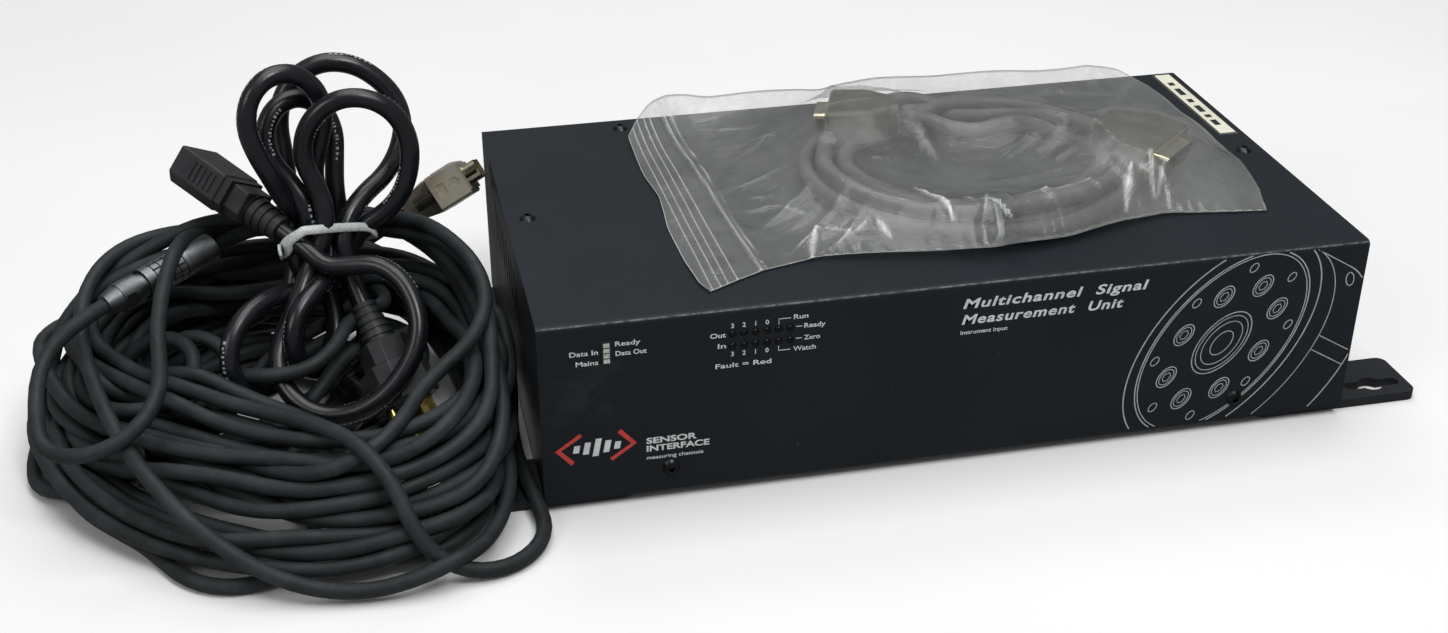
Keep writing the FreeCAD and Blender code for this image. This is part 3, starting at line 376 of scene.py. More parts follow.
def nurbs(name, pts, radius, mat, closed=False, res=4, ring=4):
    cu = bpy.data.curves.new(name, "CURVE")
    cu.dimensions = "3D"
    cu.resolution_u = res
    cu.bevel_depth = radius
    cu.bevel_resolution = ring
    cu.use_fill_caps = True
    s = cu.splines.new("NURBS")
    s.points.add(len(pts) - 1)
    for i, p in enumerate(pts):
        s.points[i].co = (p[0], p[1], p[2], 1.0)
    s.order_u = 3
    s.use_endpoint_u = True
    s.resolution_u = res
    o = bpy.data.objects.new(name, cu)
    SC.collection.objects.link(o)
    cu.materials.append(MATS[mat])
    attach(o, "root")
    return o


def table(text):
    return [Vector([float(v) / 1000 for v in w.split()]) for w in text.replace("\n", ",").split(",") if w.strip()]


def line_of(obj, step=None):
    """Points along a cord's own spline."""
    c = obj.data.copy()
    c.bevel_depth = 0
    tmp = bpy.data.objects.new("tmp_line", c)
    SC.collection.objects.link(tmp)
    bpy.context.view_layer.update()
    me = bpy.data.meshes.new_from_object(tmp.evaluated_get(bpy.context.evaluated_depsgraph_get()))
    pts = np.array([v.co[:] for v in me.vertices])
    bpy.data.objects.remove(tmp)
    bpy.data.meshes.remove(me)
    bpy.data.curves.remove(c)
    return pts


# ------------------------------------------------------------------ cords
# Control points of the three leads, millimetres in the row frame.
LEAD = """
-197.0 52.7 64.8, -214.6 51.6 55.4, -231.6 49.3 46.0, -245.0 49.1 36.2, -256.9 48.4 28.0, -270.0 44.8 23.2, -283.7 41.0 20.0, -297.6 37.7 18.2
-311.0 33.1 15.8, -322.7 25.0 13.0, -333.1 15.3 10.0, -341.1 3.7 7.0, -346.1 -9.6 4.3, -347.4 -24.0 3.1, -344.8 -38.2 3.1, -339.7 -51.7 3.1
-332.5 -64.2 3.1, -323.2 -75.3 3.1, -313.6 -86.2 3.1, -305.8 -98.3 3.1, -298.1 -110.6 3.1, -286.3 -118.7 3.1, -272.1 -119.9 3.1, -259.3 -113.4 3.1
-252.0 -101.2 3.1, -251.6 -87.0 4.3, -256.3 -73.9 8.1, -259.9 -60.4 5.4, -257.8 -46.5 3.1, -249.5 -34.8 3.1, -240.4 -23.7 3.1, -235.8 -10.1 3.1
-237.9 4.1 3.1, -246.3 15.8 3.1, -257.3 25.1 3.1, -266.8 36.0 3.1, -280.2 40.9 3.1, -294.4 39.0 3.1, -307.2 32.3 3.1, -314.9 20.3 3.1, -317.3 6.0 3.1
-319.2 -8.3 3.1, -314.2 -21.6 3.1, -305.8 -33.4 3.1, -295.1 -43.0 3.1, -282.5 -50.2 3.1, -271.1 -59.2 3.1, -259.7 -67.8 3.1, -245.5 -70.1 3.1
-231.4 -67.2 3.1, -220.3 -58.2 3.1, -213.9 -45.3 3.1, -212.1 -31.0 3.1, -214.7 -16.8 3.1, -220.2 -3.4 3.1, -225.4 10.1 3.3, -232.2 22.8 4.1
-243.8 31.0 5.5, -257.8 33.1 7.7, -271.4 29.1 5.7, -282.9 20.8 3.3, -294.1 11.7 3.1, -305.3 2.4 3.1, -312.2 -9.8 5.3, -313.9 -23.8 7.9, -311.5 -37.5 4.5
-304.1 -49.8 3.1, -293.7 -59.8 3.1, -280.3 -64.7 4.2, -267.4 -64.2 10.2, -257.0 -57.2 16.9, -249.6 -45.1 18.9, -245.7 -31.3 18.0, -243.1 -18.9 11.1
-239.6 -5.3 8.3, -241.6 8.7 9.8, -249.4 20.5 12.7, -260.1 29.9 14.4, -272.2 36.9 10.8, -285.3 42.5 8.9, -299.5 41.9 7.4, -311.9 34.6 7.0
-319.6 22.5 6.6, -321.7 8.2 7.0, -324.9 -5.7 8.6, -330.3 -19.0 9.4, -329.7 -33.3 9.5, -322.2 -45.3 7.8, -310.5 -53.6 7.5, -296.8 -57.7 9.1
-282.4 -59.2 9.4, -267.9 -58.3 9.9, -253.8 -56.5 12.4, -240.7 -51.5 14.6, -228.4 -44.0 12.8, -216.7 -35.6 12.0, -208.2 -24.1 12.1, -206.1 -9.9 11.9
-210.2 3.9 11.9, -217.5 16.1 14.1, -229.1 24.6 14.3, -242.9 28.9 13.8, -256.1 34.8 14.1, -269.7 39.0 15.8, -284.0 38.7 13.7, -296.5 33.6 8.9
-308.4 25.7 8.2, -316.6 14.2 11.1, -318.5 0.1 12.7, -316.6 -14.1 13.2, -309.3 -26.4 12.0, -300.7 -37.8 11.0, -288.4 -44.9 12.3, -274.1 -47.1 11.6
-260.0 -45.5 9.1, -247.0 -40.3 5.9, -237.5 -29.6 5.6, -232.7 -16.2 7.7, -231.6 -1.8 7.5, -236.8 11.6 7.1, -246.6 22.0 7.3, -260.0 26.3 9.7
-274.3 26.6 10.6, -287.6 22.0 8.2, -297.9 11.9 8.6, -304.8 -0.7 8.3, -306.4 -14.4 4.4, -302.0 -27.9 3.1, -291.6 -37.8 3.1, -277.9 -42.0 3.1
-263.9 -39.4 4.8, -250.9 -39.1 10.7, -237.5 -38.4 15.6, -225.1 -31.3 18.0, -214.5 -21.5 18.7, -206.0 -9.9 19.0, -202.2 3.9 20.1, -205.3 17.9 21.0
-214.6 28.8 21.8, -227.5 35.1 22.1, -241.2 39.9 21.2, -254.5 45.5 20.3, -268.3 49.6 20.5, -282.2 47.1 22.9, -294.2 39.2 23.9, -305.4 30.8 20.8
-316.1 21.5 18.9, -320.9 8.0 18.6, -320.2 -6.4 19.1, -312.7 -18.5 19.5, -302.8 -27.5 14.5, -291.8 -36.3 12.5, -278.8 -41.1 16.1, -265.7 -40.8 22.0
-252.7 -35.5 25.1, -240.8 -28.6 29.5, -233.7 -17.6 35.2, -228.3 -4.5 33.6, -223.3 8.2 29.2, -224.7 22.3 27.2, -232.6 34.2 27.8, -245.2 41.1 27.2
-259.5 41.7 27.1, -273.8 43.3 28.3, -288.1 44.4 29.1, -301.2 39.2 27.4, -310.3 28.3 25.2, -314.3 14.6 23.4, -314.7 0.6 19.7, -310.9 -11.9 14.0
-301.6 -22.2 10.3, -290.1 -30.1 13.0, -280.2 -33.3 22.6, -276.5 -27.9 35.0, -280.0 -17.2 43.6, -289.7 -7.1 45.7, -302.4 -2.6 41.2, -312.6 -7.2 32.6
-315.2 -19.1 25.7, -308.1 -30.9 22.8, -294.7 -35.1 23.6, -281.7 -29.7 25.9, -269.2 -22.9 28.8, -257.9 -15.2 33.3, -246.0 -7.3 35.0, -235.4 2.6 34.4
-227.5 14.6 33.6, -226.6 28.8 33.9, -230.5 42.3 37.1, -239.3 53.4 38.5, -251.9 58.9 42.3, -266.3 58.8 43.8, -280.3 55.9 42.3, -292.0 48.1 39.9
-300.3 36.3 39.5, -308.6 25.2 35.4, -318.2 14.5 34.6, -326.6 3.0 33.0, -329.2 -10.9 30.3, -325.9 -24.4 27.3, -316.1 -33.9 22.8, -306.2 -42.9 17.6
-293.6 -49.6 16.8, -279.4 -49.4 18.8, -265.3 -48.6 21.8, -252.9 -42.5 26.0, -243.4 -34.2 32.8, -234.9 -24.3 39.0, -223.0 -16.3 39.1, -211.3 -8.6 36.0
-204.1 3.4 32.9, -203.0 17.7 32.8, -207.9 31.1 31.7, -218.2 41.0 31.5, -231.9 45.5 31.2, -246.1 44.1 32.4, -260.4 45.0 32.2, -274.6 43.8 33.8
-286.2 35.5 34.2, -297.5 27.9 38.9, -309.1 19.6 40.0, -316.2 7.3 37.9, -316.8 -6.8 36.0, -310.2 -19.2 33.1, -298.9 -27.8 31.2, -285.5 -31.1 34.8
-273.6 -35.2 41.7, -261.3 -42.2 43.0, -247.2 -40.7 44.0, -236.8 -32.0 48.0, -232.2 -18.7 50.9, -222.5 -8.5 49.6, -216.0 3.4 45.8, -216.9 17.6 44.0
-223.9 29.9 43.8, -236.4 36.8 42.2, -250.6 40.0 42.3, -264.4 44.1 42.8, -278.3 48.2 43.2, -292.5 47.7 45.3, -305.5 42.3 42.9, -316.6 33.5 39.8
-326.7 23.2 38.5, -332.3 10.1 37.4, -333.5 -4.3 36.5, -335.7 -18.5 37.9, -332.9 -32.6 37.6, -324.1 -43.9 37.3, -310.7 -48.5 37.7, -297.3 -44.4 39.9
-290.2 -33.2 44.6, -293.1 -20.1 49.1, -303.7 -10.8 49.1, -316.3 -9.3 42.8, -322.9 -14.6 31.6, -320.0 -23.5 21.1, -308.7 -30.9 16.6, -294.7 -31.8 18.2
-282.2 -25.5 21.5, -272.1 -17.7 28.2, -261.8 -11.3 36.2, -249.6 -4.9 39.7, -239.0 5.0 39.1, -229.6 16.0 39.1, -223.6 29.0 38.8, -224.6 43.2 39.0
-232.4 55.2 37.9, -245.3 61.0 36.6, -259.7 60.0 37.1, -273.2 55.0 38.2, -285.2 47.1 37.2, -298.0 40.8 35.0, -310.0 33.0 36.2, -318.5 22.0 32.6
-323.8 9.3 28.3, -326.9 -4.6 25.4, -328.0 -18.6 22.1, -323.2 -32.0 20.1, -313.5 -42.4 21.6, -300.7 -48.9 22.9, -287.1 -53.6 21.5, -273.6 -54.0 16.8
-260.6 -51.6 10.9, -247.8 -47.9 5.4, -236.4 -39.3 4.9, -227.1 -28.4 6.9, -222.5 -15.2 10.2, -225.1 -1.4 13.1, -231.5 11.5 13.7, -241.6 21.4 15.7
-254.9 25.1 19.6, -269.1 26.7 17.9, -283.2 24.7 15.6, -295.3 17.1 14.6, -302.0 4.5 14.9, -303.0 -9.3 11.3, -298.6 -21.5 5.2, -289.6 -32.5 5.5
-277.7 -39.8 8.8, -263.7 -39.9 11.5, -250.6 -34.6 13.9, -237.4 -28.9 13.7, -225.5 -20.9 15.0, -214.2 -12.0 15.1, -207.9 0.8 16.6, -206.6 15.0 15.2
-211.5 28.5 15.8, -222.0 38.4 16.2, -234.6 45.4 15.9, -248.2 50.2 16.6, -262.4 52.4 15.3, -276.5 49.9 15.7, -290.1 45.2 15.7, -300.5 35.9 12.8
-308.6 24.0 14.5, -312.7 10.4 15.4, -309.2 -3.5 15.6, -302.6 -16.2 17.3, -290.9 -24.2 15.7, -278.0 -30.0 13.3, -266.0 -37.4 16.2, -254.9 -46.2 14.3
-245.7 -56.0 9.5, -240.3 -69.4 9.3, -236.4 -83.3 10.1, -228.8 -95.5 10.9, -216.7 -103.0 12.0, -202.4 -103.2 12.9, -190.0 -96.1 13.2, -182.7 -83.8 13.8
-181.8 -69.5 14.0, -186.1 -55.8 15.9, -188.6 -41.7 15.3, -188.5 -27.2 15.6, -190.3 -12.9 16.8, -193.5 1.2 18.3, -197.4 15.0 19.9, -201.9 28.8 20.1
-209.4 40.8 22.6, -220.7 49.4 24.6, -233.9 54.6 22.2, -248.1 57.2 20.5, -262.5 56.9 19.6, -276.9 55.2 18.9, -290.9 51.6 18.7, -304.3 46.2 19.2
-317.8 41.2 20.9, -331.0 35.5 20.9, -341.9 26.4 18.0, -348.5 14.4 14.3, -347.7 0.1 12.8, -344.7 -13.8 10.0, -338.3 -26.6 9.3, -333.8 -40.2 11.2
-327.1 -52.9 13.0, -318.8 -64.7 13.1, -309.4 -75.8 13.2, -298.9 -85.8 13.3, -287.5 -94.7 13.3, -275.3 -102.5 13.2, -262.4 -109.0 12.5
-249.1 -114.6 11.1, -235.3 -118.9 9.9, -221.3 -121.2 7.3, -207.0 -119.9 7.4, -195.2 -112.0 8.9, -187.8 -99.7 8.3, -186.7 -85.4 9.0, -187.5 -71.2 11.4
-186.0 -57.0 10.5, -181.5 -43.4 12.5, -177.4 -29.6 13.9, -172.8 -15.9 14.0, -171.7 -1.6 14.5, -175.7 12.3 14.9, -181.7 25.4 16.2, -189.6 37.5 16.9
-199.1 48.4 17.4, -210.6 57.2 17.1, -224.1 62.1 15.9, -238.4 63.2 13.9, -252.6 61.6 11.9, -266.7 58.2 10.6, -280.5 53.8 10.4, -294.0 48.7 11.3
-307.0 42.5 12.5, -319.3 34.8 12.6, -331.3 26.9 13.7, -341.7 17.6 17.5, -351.1 6.8 19.6, -356.5 -6.3 18.5, -356.5 -20.5 16.0, -352.3 -34.3 15.5
-347.1 -47.8 14.6, -340.6 -60.7 13.4, -332.6 -72.7 12.3, -323.2 -83.7 11.3, -312.7 -93.6 10.4, -301.2 -102.4 9.7, -288.8 -110.0 9.2, -275.8 -116.2 9.1
-262.2 -121.2 8.9, -248.0 -124.4 8.8, -233.7 -125.7 10.2, -219.5 -123.9 12.2, -206.4 -118.1 13.6, -195.4 -109.0 15.8, -189.4 -96.3 18.7
-188.8 -81.9 19.7, -188.3 -67.6 21.4, -184.5 -53.8 22.9, -179.2 -40.5 22.2, -176.8 -26.4 20.0, -175.2 -12.0 19.3, -176.6 2.3 19.3, -181.7 15.9 20.0
-189.2 28.2 20.7, -198.5 39.3 20.9, -209.6 48.6 21.4, -221.9 56.2 21.9, -235.4 61.3 22.9, -249.6 64.1 22.9, -264.0 65.3 22.0, -278.4 63.8 21.0
-292.2 59.5 20.1, -305.1 53.1 18.9, -317.0 45.2 16.3, -325.8 34.1 17.3, -332.3 21.4 18.9, -338.3 8.6 15.7, -340.9 -5.5 14.9, -342.9 -19.8 14.2
-342.2 -33.9 11.0, -337.5 -47.3 12.9, -330.0 -59.5 14.6, -321.4 -71.1 14.5, -311.8 -82.0 14.4, -301.2 -91.9 14.1, -289.7 -100.6 13.4, -277.4 -108.3 12.6
-264.5 -114.8 12.4, -251.0 -120.0 13.4, -236.9 -122.5 15.2, -222.6 -121.7 17.4, -208.4 -120.0 19.3, -195.1 -114.5 19.7, -185.6 -103.8 19.8
-182.4 -89.8 19.9, -182.9 -75.3 19.7, -181.3 -60.9 19.8, -182.4 -46.7 18.2, -184.4 -32.5 19.8, -185.1 -18.0 20.7, -186.8 -3.6 20.7, -189.8 10.5 20.0
-194.3 24.1 21.9, -201.1 36.4 25.5, -209.6 47.9 27.5, -220.5 57.4 27.7, -233.2 64.3 27.8, -247.2 67.8 27.6, -261.6 68.6 27.3, -276.0 66.8 26.8
-289.8 62.3 26.2, -302.6 55.7 25.5, -313.8 46.7 25.8, -323.8 36.3 26.6, -333.7 25.9 24.3, -340.0 13.1 22.3, -344.2 -0.4 19.5, -346.1 -14.7 20.2
-346.2 -29.0 22.4, -343.3 -42.8 19.6, -337.5 -56.0 18.6, -330.2 -68.5 17.7, -321.5 -80.0 16.6, -311.7 -90.6 15.9, -300.6 -100.0 15.6, -288.5 -107.8 16.3
-275.0 -112.7 17.7, -260.6 -114.5 18.2, -246.3 -115.9 17.0, -231.8 -116.4 16.0, -217.4 -114.9 16.1, -204.2 -109.7 18.0, -195.4 -98.9 21.4
-188.1 -87.0 24.8, -185.3 -73.0 26.1, -185.5 -58.7 28.3, -184.0 -44.3 28.8, -184.4 -29.9 27.8, -185.1 -15.5 28.2, -186.3 -1.1 29.9, -188.7 13.1 31.5
-193.1 26.8 32.1, -200.6 39.1 33.0, -211.0 49.2 33.7, -223.5 56.4 33.2, -237.3 60.1 31.0, -251.6 61.1 29.0, -265.7 59.6 26.5, -279.5 55.4 26.1
-293.1 50.5 27.4, -305.9 44.0 29.5, -317.9 36.2 31.8, -329.4 27.5 33.2, -339.4 17.2 32.9, -344.1 3.7 31.7, -347.5 -10.3 30.2, -345.9 -24.4 28.7
-338.7 -36.9 28.2, -328.3 -46.1 24.2, -317.6 -55.2 21.0, -306.2 -64.1 19.9, -295.9 -74.2 19.2, -284.5 -82.7 16.9, -271.3 -88.5 18.3, -258.4 -95.0 19.8
-245.4 -101.0 21.1, -231.6 -105.4 21.3, -217.3 -108.0 21.7, -203.3 -106.4 24.5, -190.8 -99.5 25.9, -181.3 -88.7 26.0, -174.7 -75.8 26.4
-174.0 -61.5 25.2, -174.3 -47.1 25.7, -175.6 -32.7 26.1, -177.4 -18.3 25.9, -180.9 -4.2 25.5, -186.5 9.1 25.4, -195.8 20.1 26.2, -205.8 30.5 25.6
-217.0 39.7 25.4, -229.5 47.0 25.5, -243.0 52.2 26.8, -256.9 55.1 29.6, -271.1 56.5 31.6, -285.6 56.1 32.0, -299.7 52.8 31.9, -313.4 48.1 31.5
-326.1 42.0 29.1, -336.4 32.3 25.9, -343.7 20.0 24.4, -345.1 5.8 25.5, -344.0 -8.6 25.4, -341.1 -22.7 24.9, -339.1 -36.9 22.7, -332.9 -49.5 24.4
-321.3 -57.9 25.5, -310.3 -67.1 23.6, -300.2 -77.4 22.4, -289.5 -87.2 21.8, -278.4 -96.5 21.7, -266.1 -103.9 22.8, -252.2 -107.8 24.5
-237.9 -109.1 25.8, -223.5 -108.5 27.0, -209.6 -104.9 28.8, -196.5 -98.9 30.6, -185.9 -89.3 31.2, -179.0 -76.6 31.2, -175.1 -62.7 31.2
-175.5 -48.3 31.6, -178.6 -34.2 31.8, -183.1 -20.5 33.5, -186.8 -6.6 35.3, -191.4 7.1 35.8, -196.5 20.6 34.9, -203.3 33.3 35.3, -213.5 43.6 35.4
-225.9 50.5 33.1, -239.7 54.4 32.0, -253.4 52.4 35.1, -265.1 44.3 37.6, -278.7 39.8 39.4, -292.4 36.5 36.9, -305.4 32.4 32.0, -318.9 27.9 30.0
-330.1 18.9 31.5, -337.2 6.6 32.9, -337.6 -7.7 32.3, -333.0 -21.3 32.4, -322.9 -31.4 31.4, -315.8 -43.2 27.3, -307.6 -55.0 26.0, -298.1 -65.9 25.7
-287.5 -75.7 26.8, -275.9 -84.4 26.4, -263.8 -92.1 25.6, -250.3 -96.7 28.0, -236.2 -100.0 28.9, -222.2 -99.9 31.9, -210.1 -93.5 36.1, -198.8 -85.0 39.0
-191.5 -72.7 39.0, -187.6 -58.8 40.5, -185.5 -44.6 41.3, -184.9 -30.1 41.0, -185.3 -16.1 44.2, -189.1 -2.6 47.5, -197.4 8.8 50.2, -209.1 17.1 49.9
-222.5 22.4 48.6, -236.2 26.3 46.0, -250.5 28.5 45.1, -264.9 29.6 44.1, -279.3 29.9 43.3, -293.5 32.0 45.0, -307.4 29.4 47.8, -319.9 22.8 45.6
-326.9 11.2 41.4, -328.4 -3.1 40.6, -323.6 -16.5 39.7, -312.4 -25.5 39.2, -300.9 -32.6 44.1, -289.2 -40.3 46.6, -277.2 -46.4 41.4, -265.0 -52.6 37.0
-253.6 -61.4 35.6, -243.1 -71.4 34.9, -233.0 -81.7 33.8, -221.1 -89.5 31.8, -206.9 -91.1 31.5, -193.5 -88.2 35.5, -182.9 -78.7 36.8, -175.9 -66.0 37.3
-172.3 -52.0 37.5, -170.7 -37.6 38.0, -170.4 -23.3 40.1, -171.1 -9.0 41.9, -177.8 3.6 41.0, -188.2 13.6 41.3, -199.0 23.3 40.4, -210.6 31.3 37.4
-223.1 36.8 32.7, -236.5 41.1 34.6, -249.2 45.2 40.3, -262.1 48.6 45.6, -275.8 45.4 47.7, -289.4 41.5 45.0, -303.0 36.7 45.0, -314.1 28.1 41.6
-323.4 18.2 36.5, -331.2 7.3 31.1, -336.0 -5.6 26.8, -335.0 -19.8 26.2, -328.5 -32.4 28.9, -318.3 -41.7 32.8, -306.9 -50.5 32.4, -295.4 -59.3 32.3
-283.3 -67.3 31.4, -271.1 -75.1 30.9, -259.1 -83.2 31.0, -246.3 -89.7 32.4, -232.9 -93.9 35.6, -219.1 -96.9 38.9, -205.0 -96.0 40.3, -193.0 -88.1 41.8
-184.6 -76.5 42.4, -179.4 -63.0 41.7, -174.8 -49.4 43.0, -174.2 -35.0 43.2, -177.8 -21.0 42.5, -183.8 -7.9 41.3, -191.0 4.7 41.8, -199.9 15.9 40.4
-210.2 25.9 42.4, -220.9 35.3 44.7, -234.0 41.1 46.1, -247.3 46.8 47.4, -260.4 51.6 50.8, -274.8 51.4 51.9, -289.1 49.4 51.5, -303.0 46.3 49.9
-315.2 39.6 45.8, -324.5 28.8 44.4, -332.3 16.6 45.3, -337.2 3.5 48.3, -336.1 -10.8 49.6, -332.3 -23.9 45.2, -322.8 -32.3 38.6, -309.9 -38.1 35.9
-297.2 -44.8 34.4, -285.3 -53.0 34.9, -273.9 -62.0 35.4, -262.4 -70.9 35.3, -250.6 -79.1 34.2, -239.1 -87.4 31.3, -227.0 -94.6 28.1, -212.9 -97.5 28.2
-199.2 -93.5 28.9, -189.2 -83.3 30.5, -184.6 -70.0 32.7, -185.0 -55.7 34.9, -182.4 -41.5 36.0, -178.2 -27.7 37.2, -178.7 -13.5 35.0, -180.8 0.8 35.0
-185.1 14.5 36.3, -193.3 26.0 39.4, -204.7 34.6 41.4, -217.4 41.0 43.5, -230.5 46.1 47.2, -243.8 51.0 45.5, -257.3 53.2 40.7, -270.4 51.5 34.9
-284.5 50.0 32.5, -298.5 47.2 34.4, -312.0 42.2 36.5, -324.9 36.0 38.5, -337.0 28.2 40.4, -347.5 18.5 42.0, -352.7 5.2 42.3, -349.9 -8.7 40.2
-344.8 -22.2 38.0, -338.7 -35.1 36.0, -330.1 -46.6 34.9, -319.0 -55.9 34.3, -307.7 -65.0 34.1, -295.9 -73.4 34.1, -283.4 -80.7 34.6, -270.2 -86.5 35.9
-256.6 -91.4 35.9, -243.3 -97.1 35.0, -229.5 -101.1 36.0, -215.9 -103.3 40.3, -203.2 -98.9 45.0, -193.8 -88.5 48.1, -187.8 -75.5 50.3, -185.5 -61.3 51.1
-185.2 -46.9 49.4, -187.0 -32.8 46.6, -190.6 -19.0 44.3, -194.3 -5.0 43.5, -199.3 8.5 44.8, -203.1 22.4 46.0, -209.7 35.2 47.3, -220.0 43.8 51.9
-233.5 48.2 54.1, -247.9 48.3 53.8, -261.8 44.7 52.4, -275.3 39.4 53.0, -289.1 35.6 53.2, -303.4 36.2 51.1, -317.7 35.3 50.2, -330.3 29.5 47.0
-337.4 17.8 42.6, -340.7 3.9 43.2, -337.2 -9.8 43.9, -328.0 -20.9 42.9, -318.6 -31.9 42.9, -309.0 -42.7 43.0, -298.3 -52.3 42.7, -287.0 -60.4 38.9
-275.3 -68.9 37.6, -263.3 -77.1 37.8, -250.5 -83.8 38.5, -236.8 -88.3 39.5, -222.6 -90.7 40.6, -208.6 -89.4 43.5, -196.4 -82.1 45.1, -188.2 -70.3 44.9
-182.7 -56.9 45.3, -179.0 -43.1 47.3, -177.5 -29.2 50.8, -178.3 -14.8 51.9, -183.3 -1.3 51.2, -191.3 10.7 51.9, -201.5 21.0 51.8, -213.4 29.0 50.2
-227.1 33.6 49.7, -240.9 37.8 48.8, -255.0 40.7 48.2, -269.3 39.0 47.0, -283.5 39.0 48.8, -297.3 41.7 52.2, -310.9 39.0 55.7, -322.6 30.8 54.8
-330.3 19.3 51.4, -332.0 5.1 50.6, -329.4 -8.6 47.0, -321.1 -20.2 45.6, -311.5 -31.0 44.0, -301.1 -41.0 45.0, -289.4 -49.1 43.8, -277.4 -56.9 41.7
-265.6 -65.3 41.7, -254.6 -74.7 42.6, -244.8 -85.1 44.7, -236.4 -96.7 46.7, -228.1 -108.0 44.3, -220.9 -116.2 34.9, -217.0 -124.1 23.5
-209.8 -128.1 11.7, -197.8 -130.7 4.6, -183.7 -129.1 3.1, -172.3 -120.6 3.1, -166.9 -107.4 3.1, -168.5 -93.3 5.1, -170.6 -79.2 7.4, -172.5 -64.9 7.9
-173.4 -52.2 14.6, -171.1 -39.8 21.4, -170.6 -27.6 29.1, -172.9 -14.8 35.5, -179.0 -3.7 42.4, -184.9 8.7 46.9, -193.1 20.5 48.1, -203.5 29.9 51.3
-216.3 36.3 52.6, -229.9 41.1 52.1, -244.0 42.8 54.1, -258.0 43.0 57.8, -272.3 44.3 57.2, -286.4 41.4 56.5, -299.2 34.9 56.9, -311.7 27.9 54.4
-322.5 19.2 50.6, -330.5 8.2 45.7, -337.8 -2.8 39.7, -340.8 -16.0 35.2, -336.5 -29.3 32.1, -328.4 -41.2 31.2, -317.1 -50.3 31.3, -305.8 -59.3 31.7
-294.0 -67.7 31.7, -281.7 -75.4 32.0, -270.0 -83.7 30.5, -260.2 -94.2 32.0, -248.5 -101.9 35.2, -235.0 -103.7 39.5, -222.7 -97.9 44.2, -213.8 -87.1 47.0
-208.4 -73.7 47.8, -198.8 -63.9 51.6, -187.1 -58.2 57.7, -179.7 -48.2 64.7, -178.4 -34.9 69.8, -181.2 -21.2 73.5, -186.5 -7.8 75.1, -193.1 5.0 76.3
-202.0 16.4 76.6, -214.3 23.6 75.0, -227.7 28.1 72.1, -241.3 33.0 71.2, -255.6 33.8 71.4, -269.7 30.6 70.6, -283.1 26.1 67.5, -297.2 23.2 67.8
-310.8 18.8 65.2, -324.2 15.4 61.0, -336.7 12.1 54.6, -345.3 6.8 44.4, -349.6 1.5 31.7, -351.1 -2.8 18.1, -356.3 -11.9 8.4, -358.4 -25.3 4.0
-355.2 -39.2 3.4, -345.6 -49.3 6.6, -332.1 -53.7 8.0, -318.3 -53.0 11.3, -306.1 -56.4 17.8, -295.3 -65.6 20.0, -286.5 -76.9 21.1, -278.4 -88.7 22.6
-266.7 -97.1 21.3, -254.6 -104.7 18.9, -241.7 -111.0 19.8, -227.7 -114.4 21.8, -213.3 -114.5 22.6, -199.2 -111.5 23.9, -187.7 -104.1 27.9
-181.1 -92.4 33.4, -177.7 -80.0 39.9, -177.2 -66.8 45.9, -178.3 -53.2 50.6, -179.8 -39.3 54.4, -181.5 -25.2 57.4, -184.6 -11.4 60.4, -189.5 1.9 63.4
-195.7 14.7 66.0, -205.2 24.8 70.1, -217.8 30.6 73.7, -231.9 32.8 76.4, -246.3 32.4 77.3, -260.8 31.4 77.2, -275.2 30.5 77.4, -289.5 29.0 76.3
-302.8 26.2 71.4, -315.9 23.5 65.7, -328.4 20.7 59.0, -339.1 16.7 50.2, -347.0 11.3 39.3, -354.1 3.1 30.1, -354.4 -9.6 23.6, -350.1 -22.3 18.3
-342.2 -34.3 16.7, -333.5 -45.8 17.7, -325.6 -57.6 20.4, -316.9 -68.3 24.6, -305.2 -75.9 28.4, -292.7 -83.0 29.9, -280.1 -90.2 30.4, -267.5 -97.2 29.8
-254.1 -102.8 29.1, -240.0 -105.4 30.8, -225.7 -106.4 32.6, -211.6 -104.1 34.7, -198.3 -99.0 37.4, -187.3 -91.0 42.0, -181.6 -79.0 47.4
-179.8 -65.5 52.4, -178.7 -52.0 57.3, -178.1 -37.9 60.7, -178.9 -23.7 63.2, -181.9 -9.8 66.1, -188.1 2.8 69.4, -198.5 12.7 70.7, -209.9 21.3 69.1
-221.1 30.5 68.4, -234.0 36.8 68.9, -248.2 39.4 67.7, -262.5 40.7 66.0, -276.8 42.3 66.8, -291.2 41.6 68.6, -304.9 37.3 69.5, -316.9 29.3 69.6
-325.9 18.2 67.6, -331.4 5.6 63.4, -333.2 -7.8 58.2, -332.1 -21.5 53.6, -329.1 -35.2 49.9, -325.4 -48.8 46.8, -321.0 -62.3 43.6, -315.6 -75.1 39.5
-309.2 -87.5 35.5, -301.5 -98.7 30.6, -292.8 -108.9 25.1, -282.8 -117.4 19.0, -271.6 -124.2 12.9, -259.0 -129.3 7.9, -245.3 -132.9 5.1
-230.9 -134.5 4.7, -216.8 -134.6 7.6, -203.1 -131.9 10.9, -192.1 -122.8 9.8, -184.6 -110.5 10.1, -179.5 -97.4 13.4, -176.9 -83.9 18.0, -178.7 -71.0 24.0
-179.7 -58.8 31.6, -178.8 -46.3 38.9, -180.5 -33.0 44.4, -182.9 -19.6 49.3, -186.1 -6.4 54.4, -189.5 7.1 58.2, -196.1 19.5 61.2, -205.9 29.5 65.2
-217.6 37.5 68.0, -230.8 43.3 69.2, -245.0 46.0 69.5, -259.3 44.9 70.4, -272.2 38.5 71.4, -282.9 28.9 72.5, -291.0 17.9 77.1, -295.1 4.3 78.7
-298.6 -8.8 73.8, -301.1 -22.1 68.7, -302.3 -35.6 63.6, -301.5 -49.2 58.5, -301.7 -62.7 53.4, -308.0 -74.3 47.8, -319.7 -80.6 42.7, -333.6 -79.6 39.6
-345.1 -71.1 39.9, -346.6 -59.7 49.0, -345.1 -41.7 59.0, -333.6 -25.1 65.9, -318.1 -12.5 67.8
"""
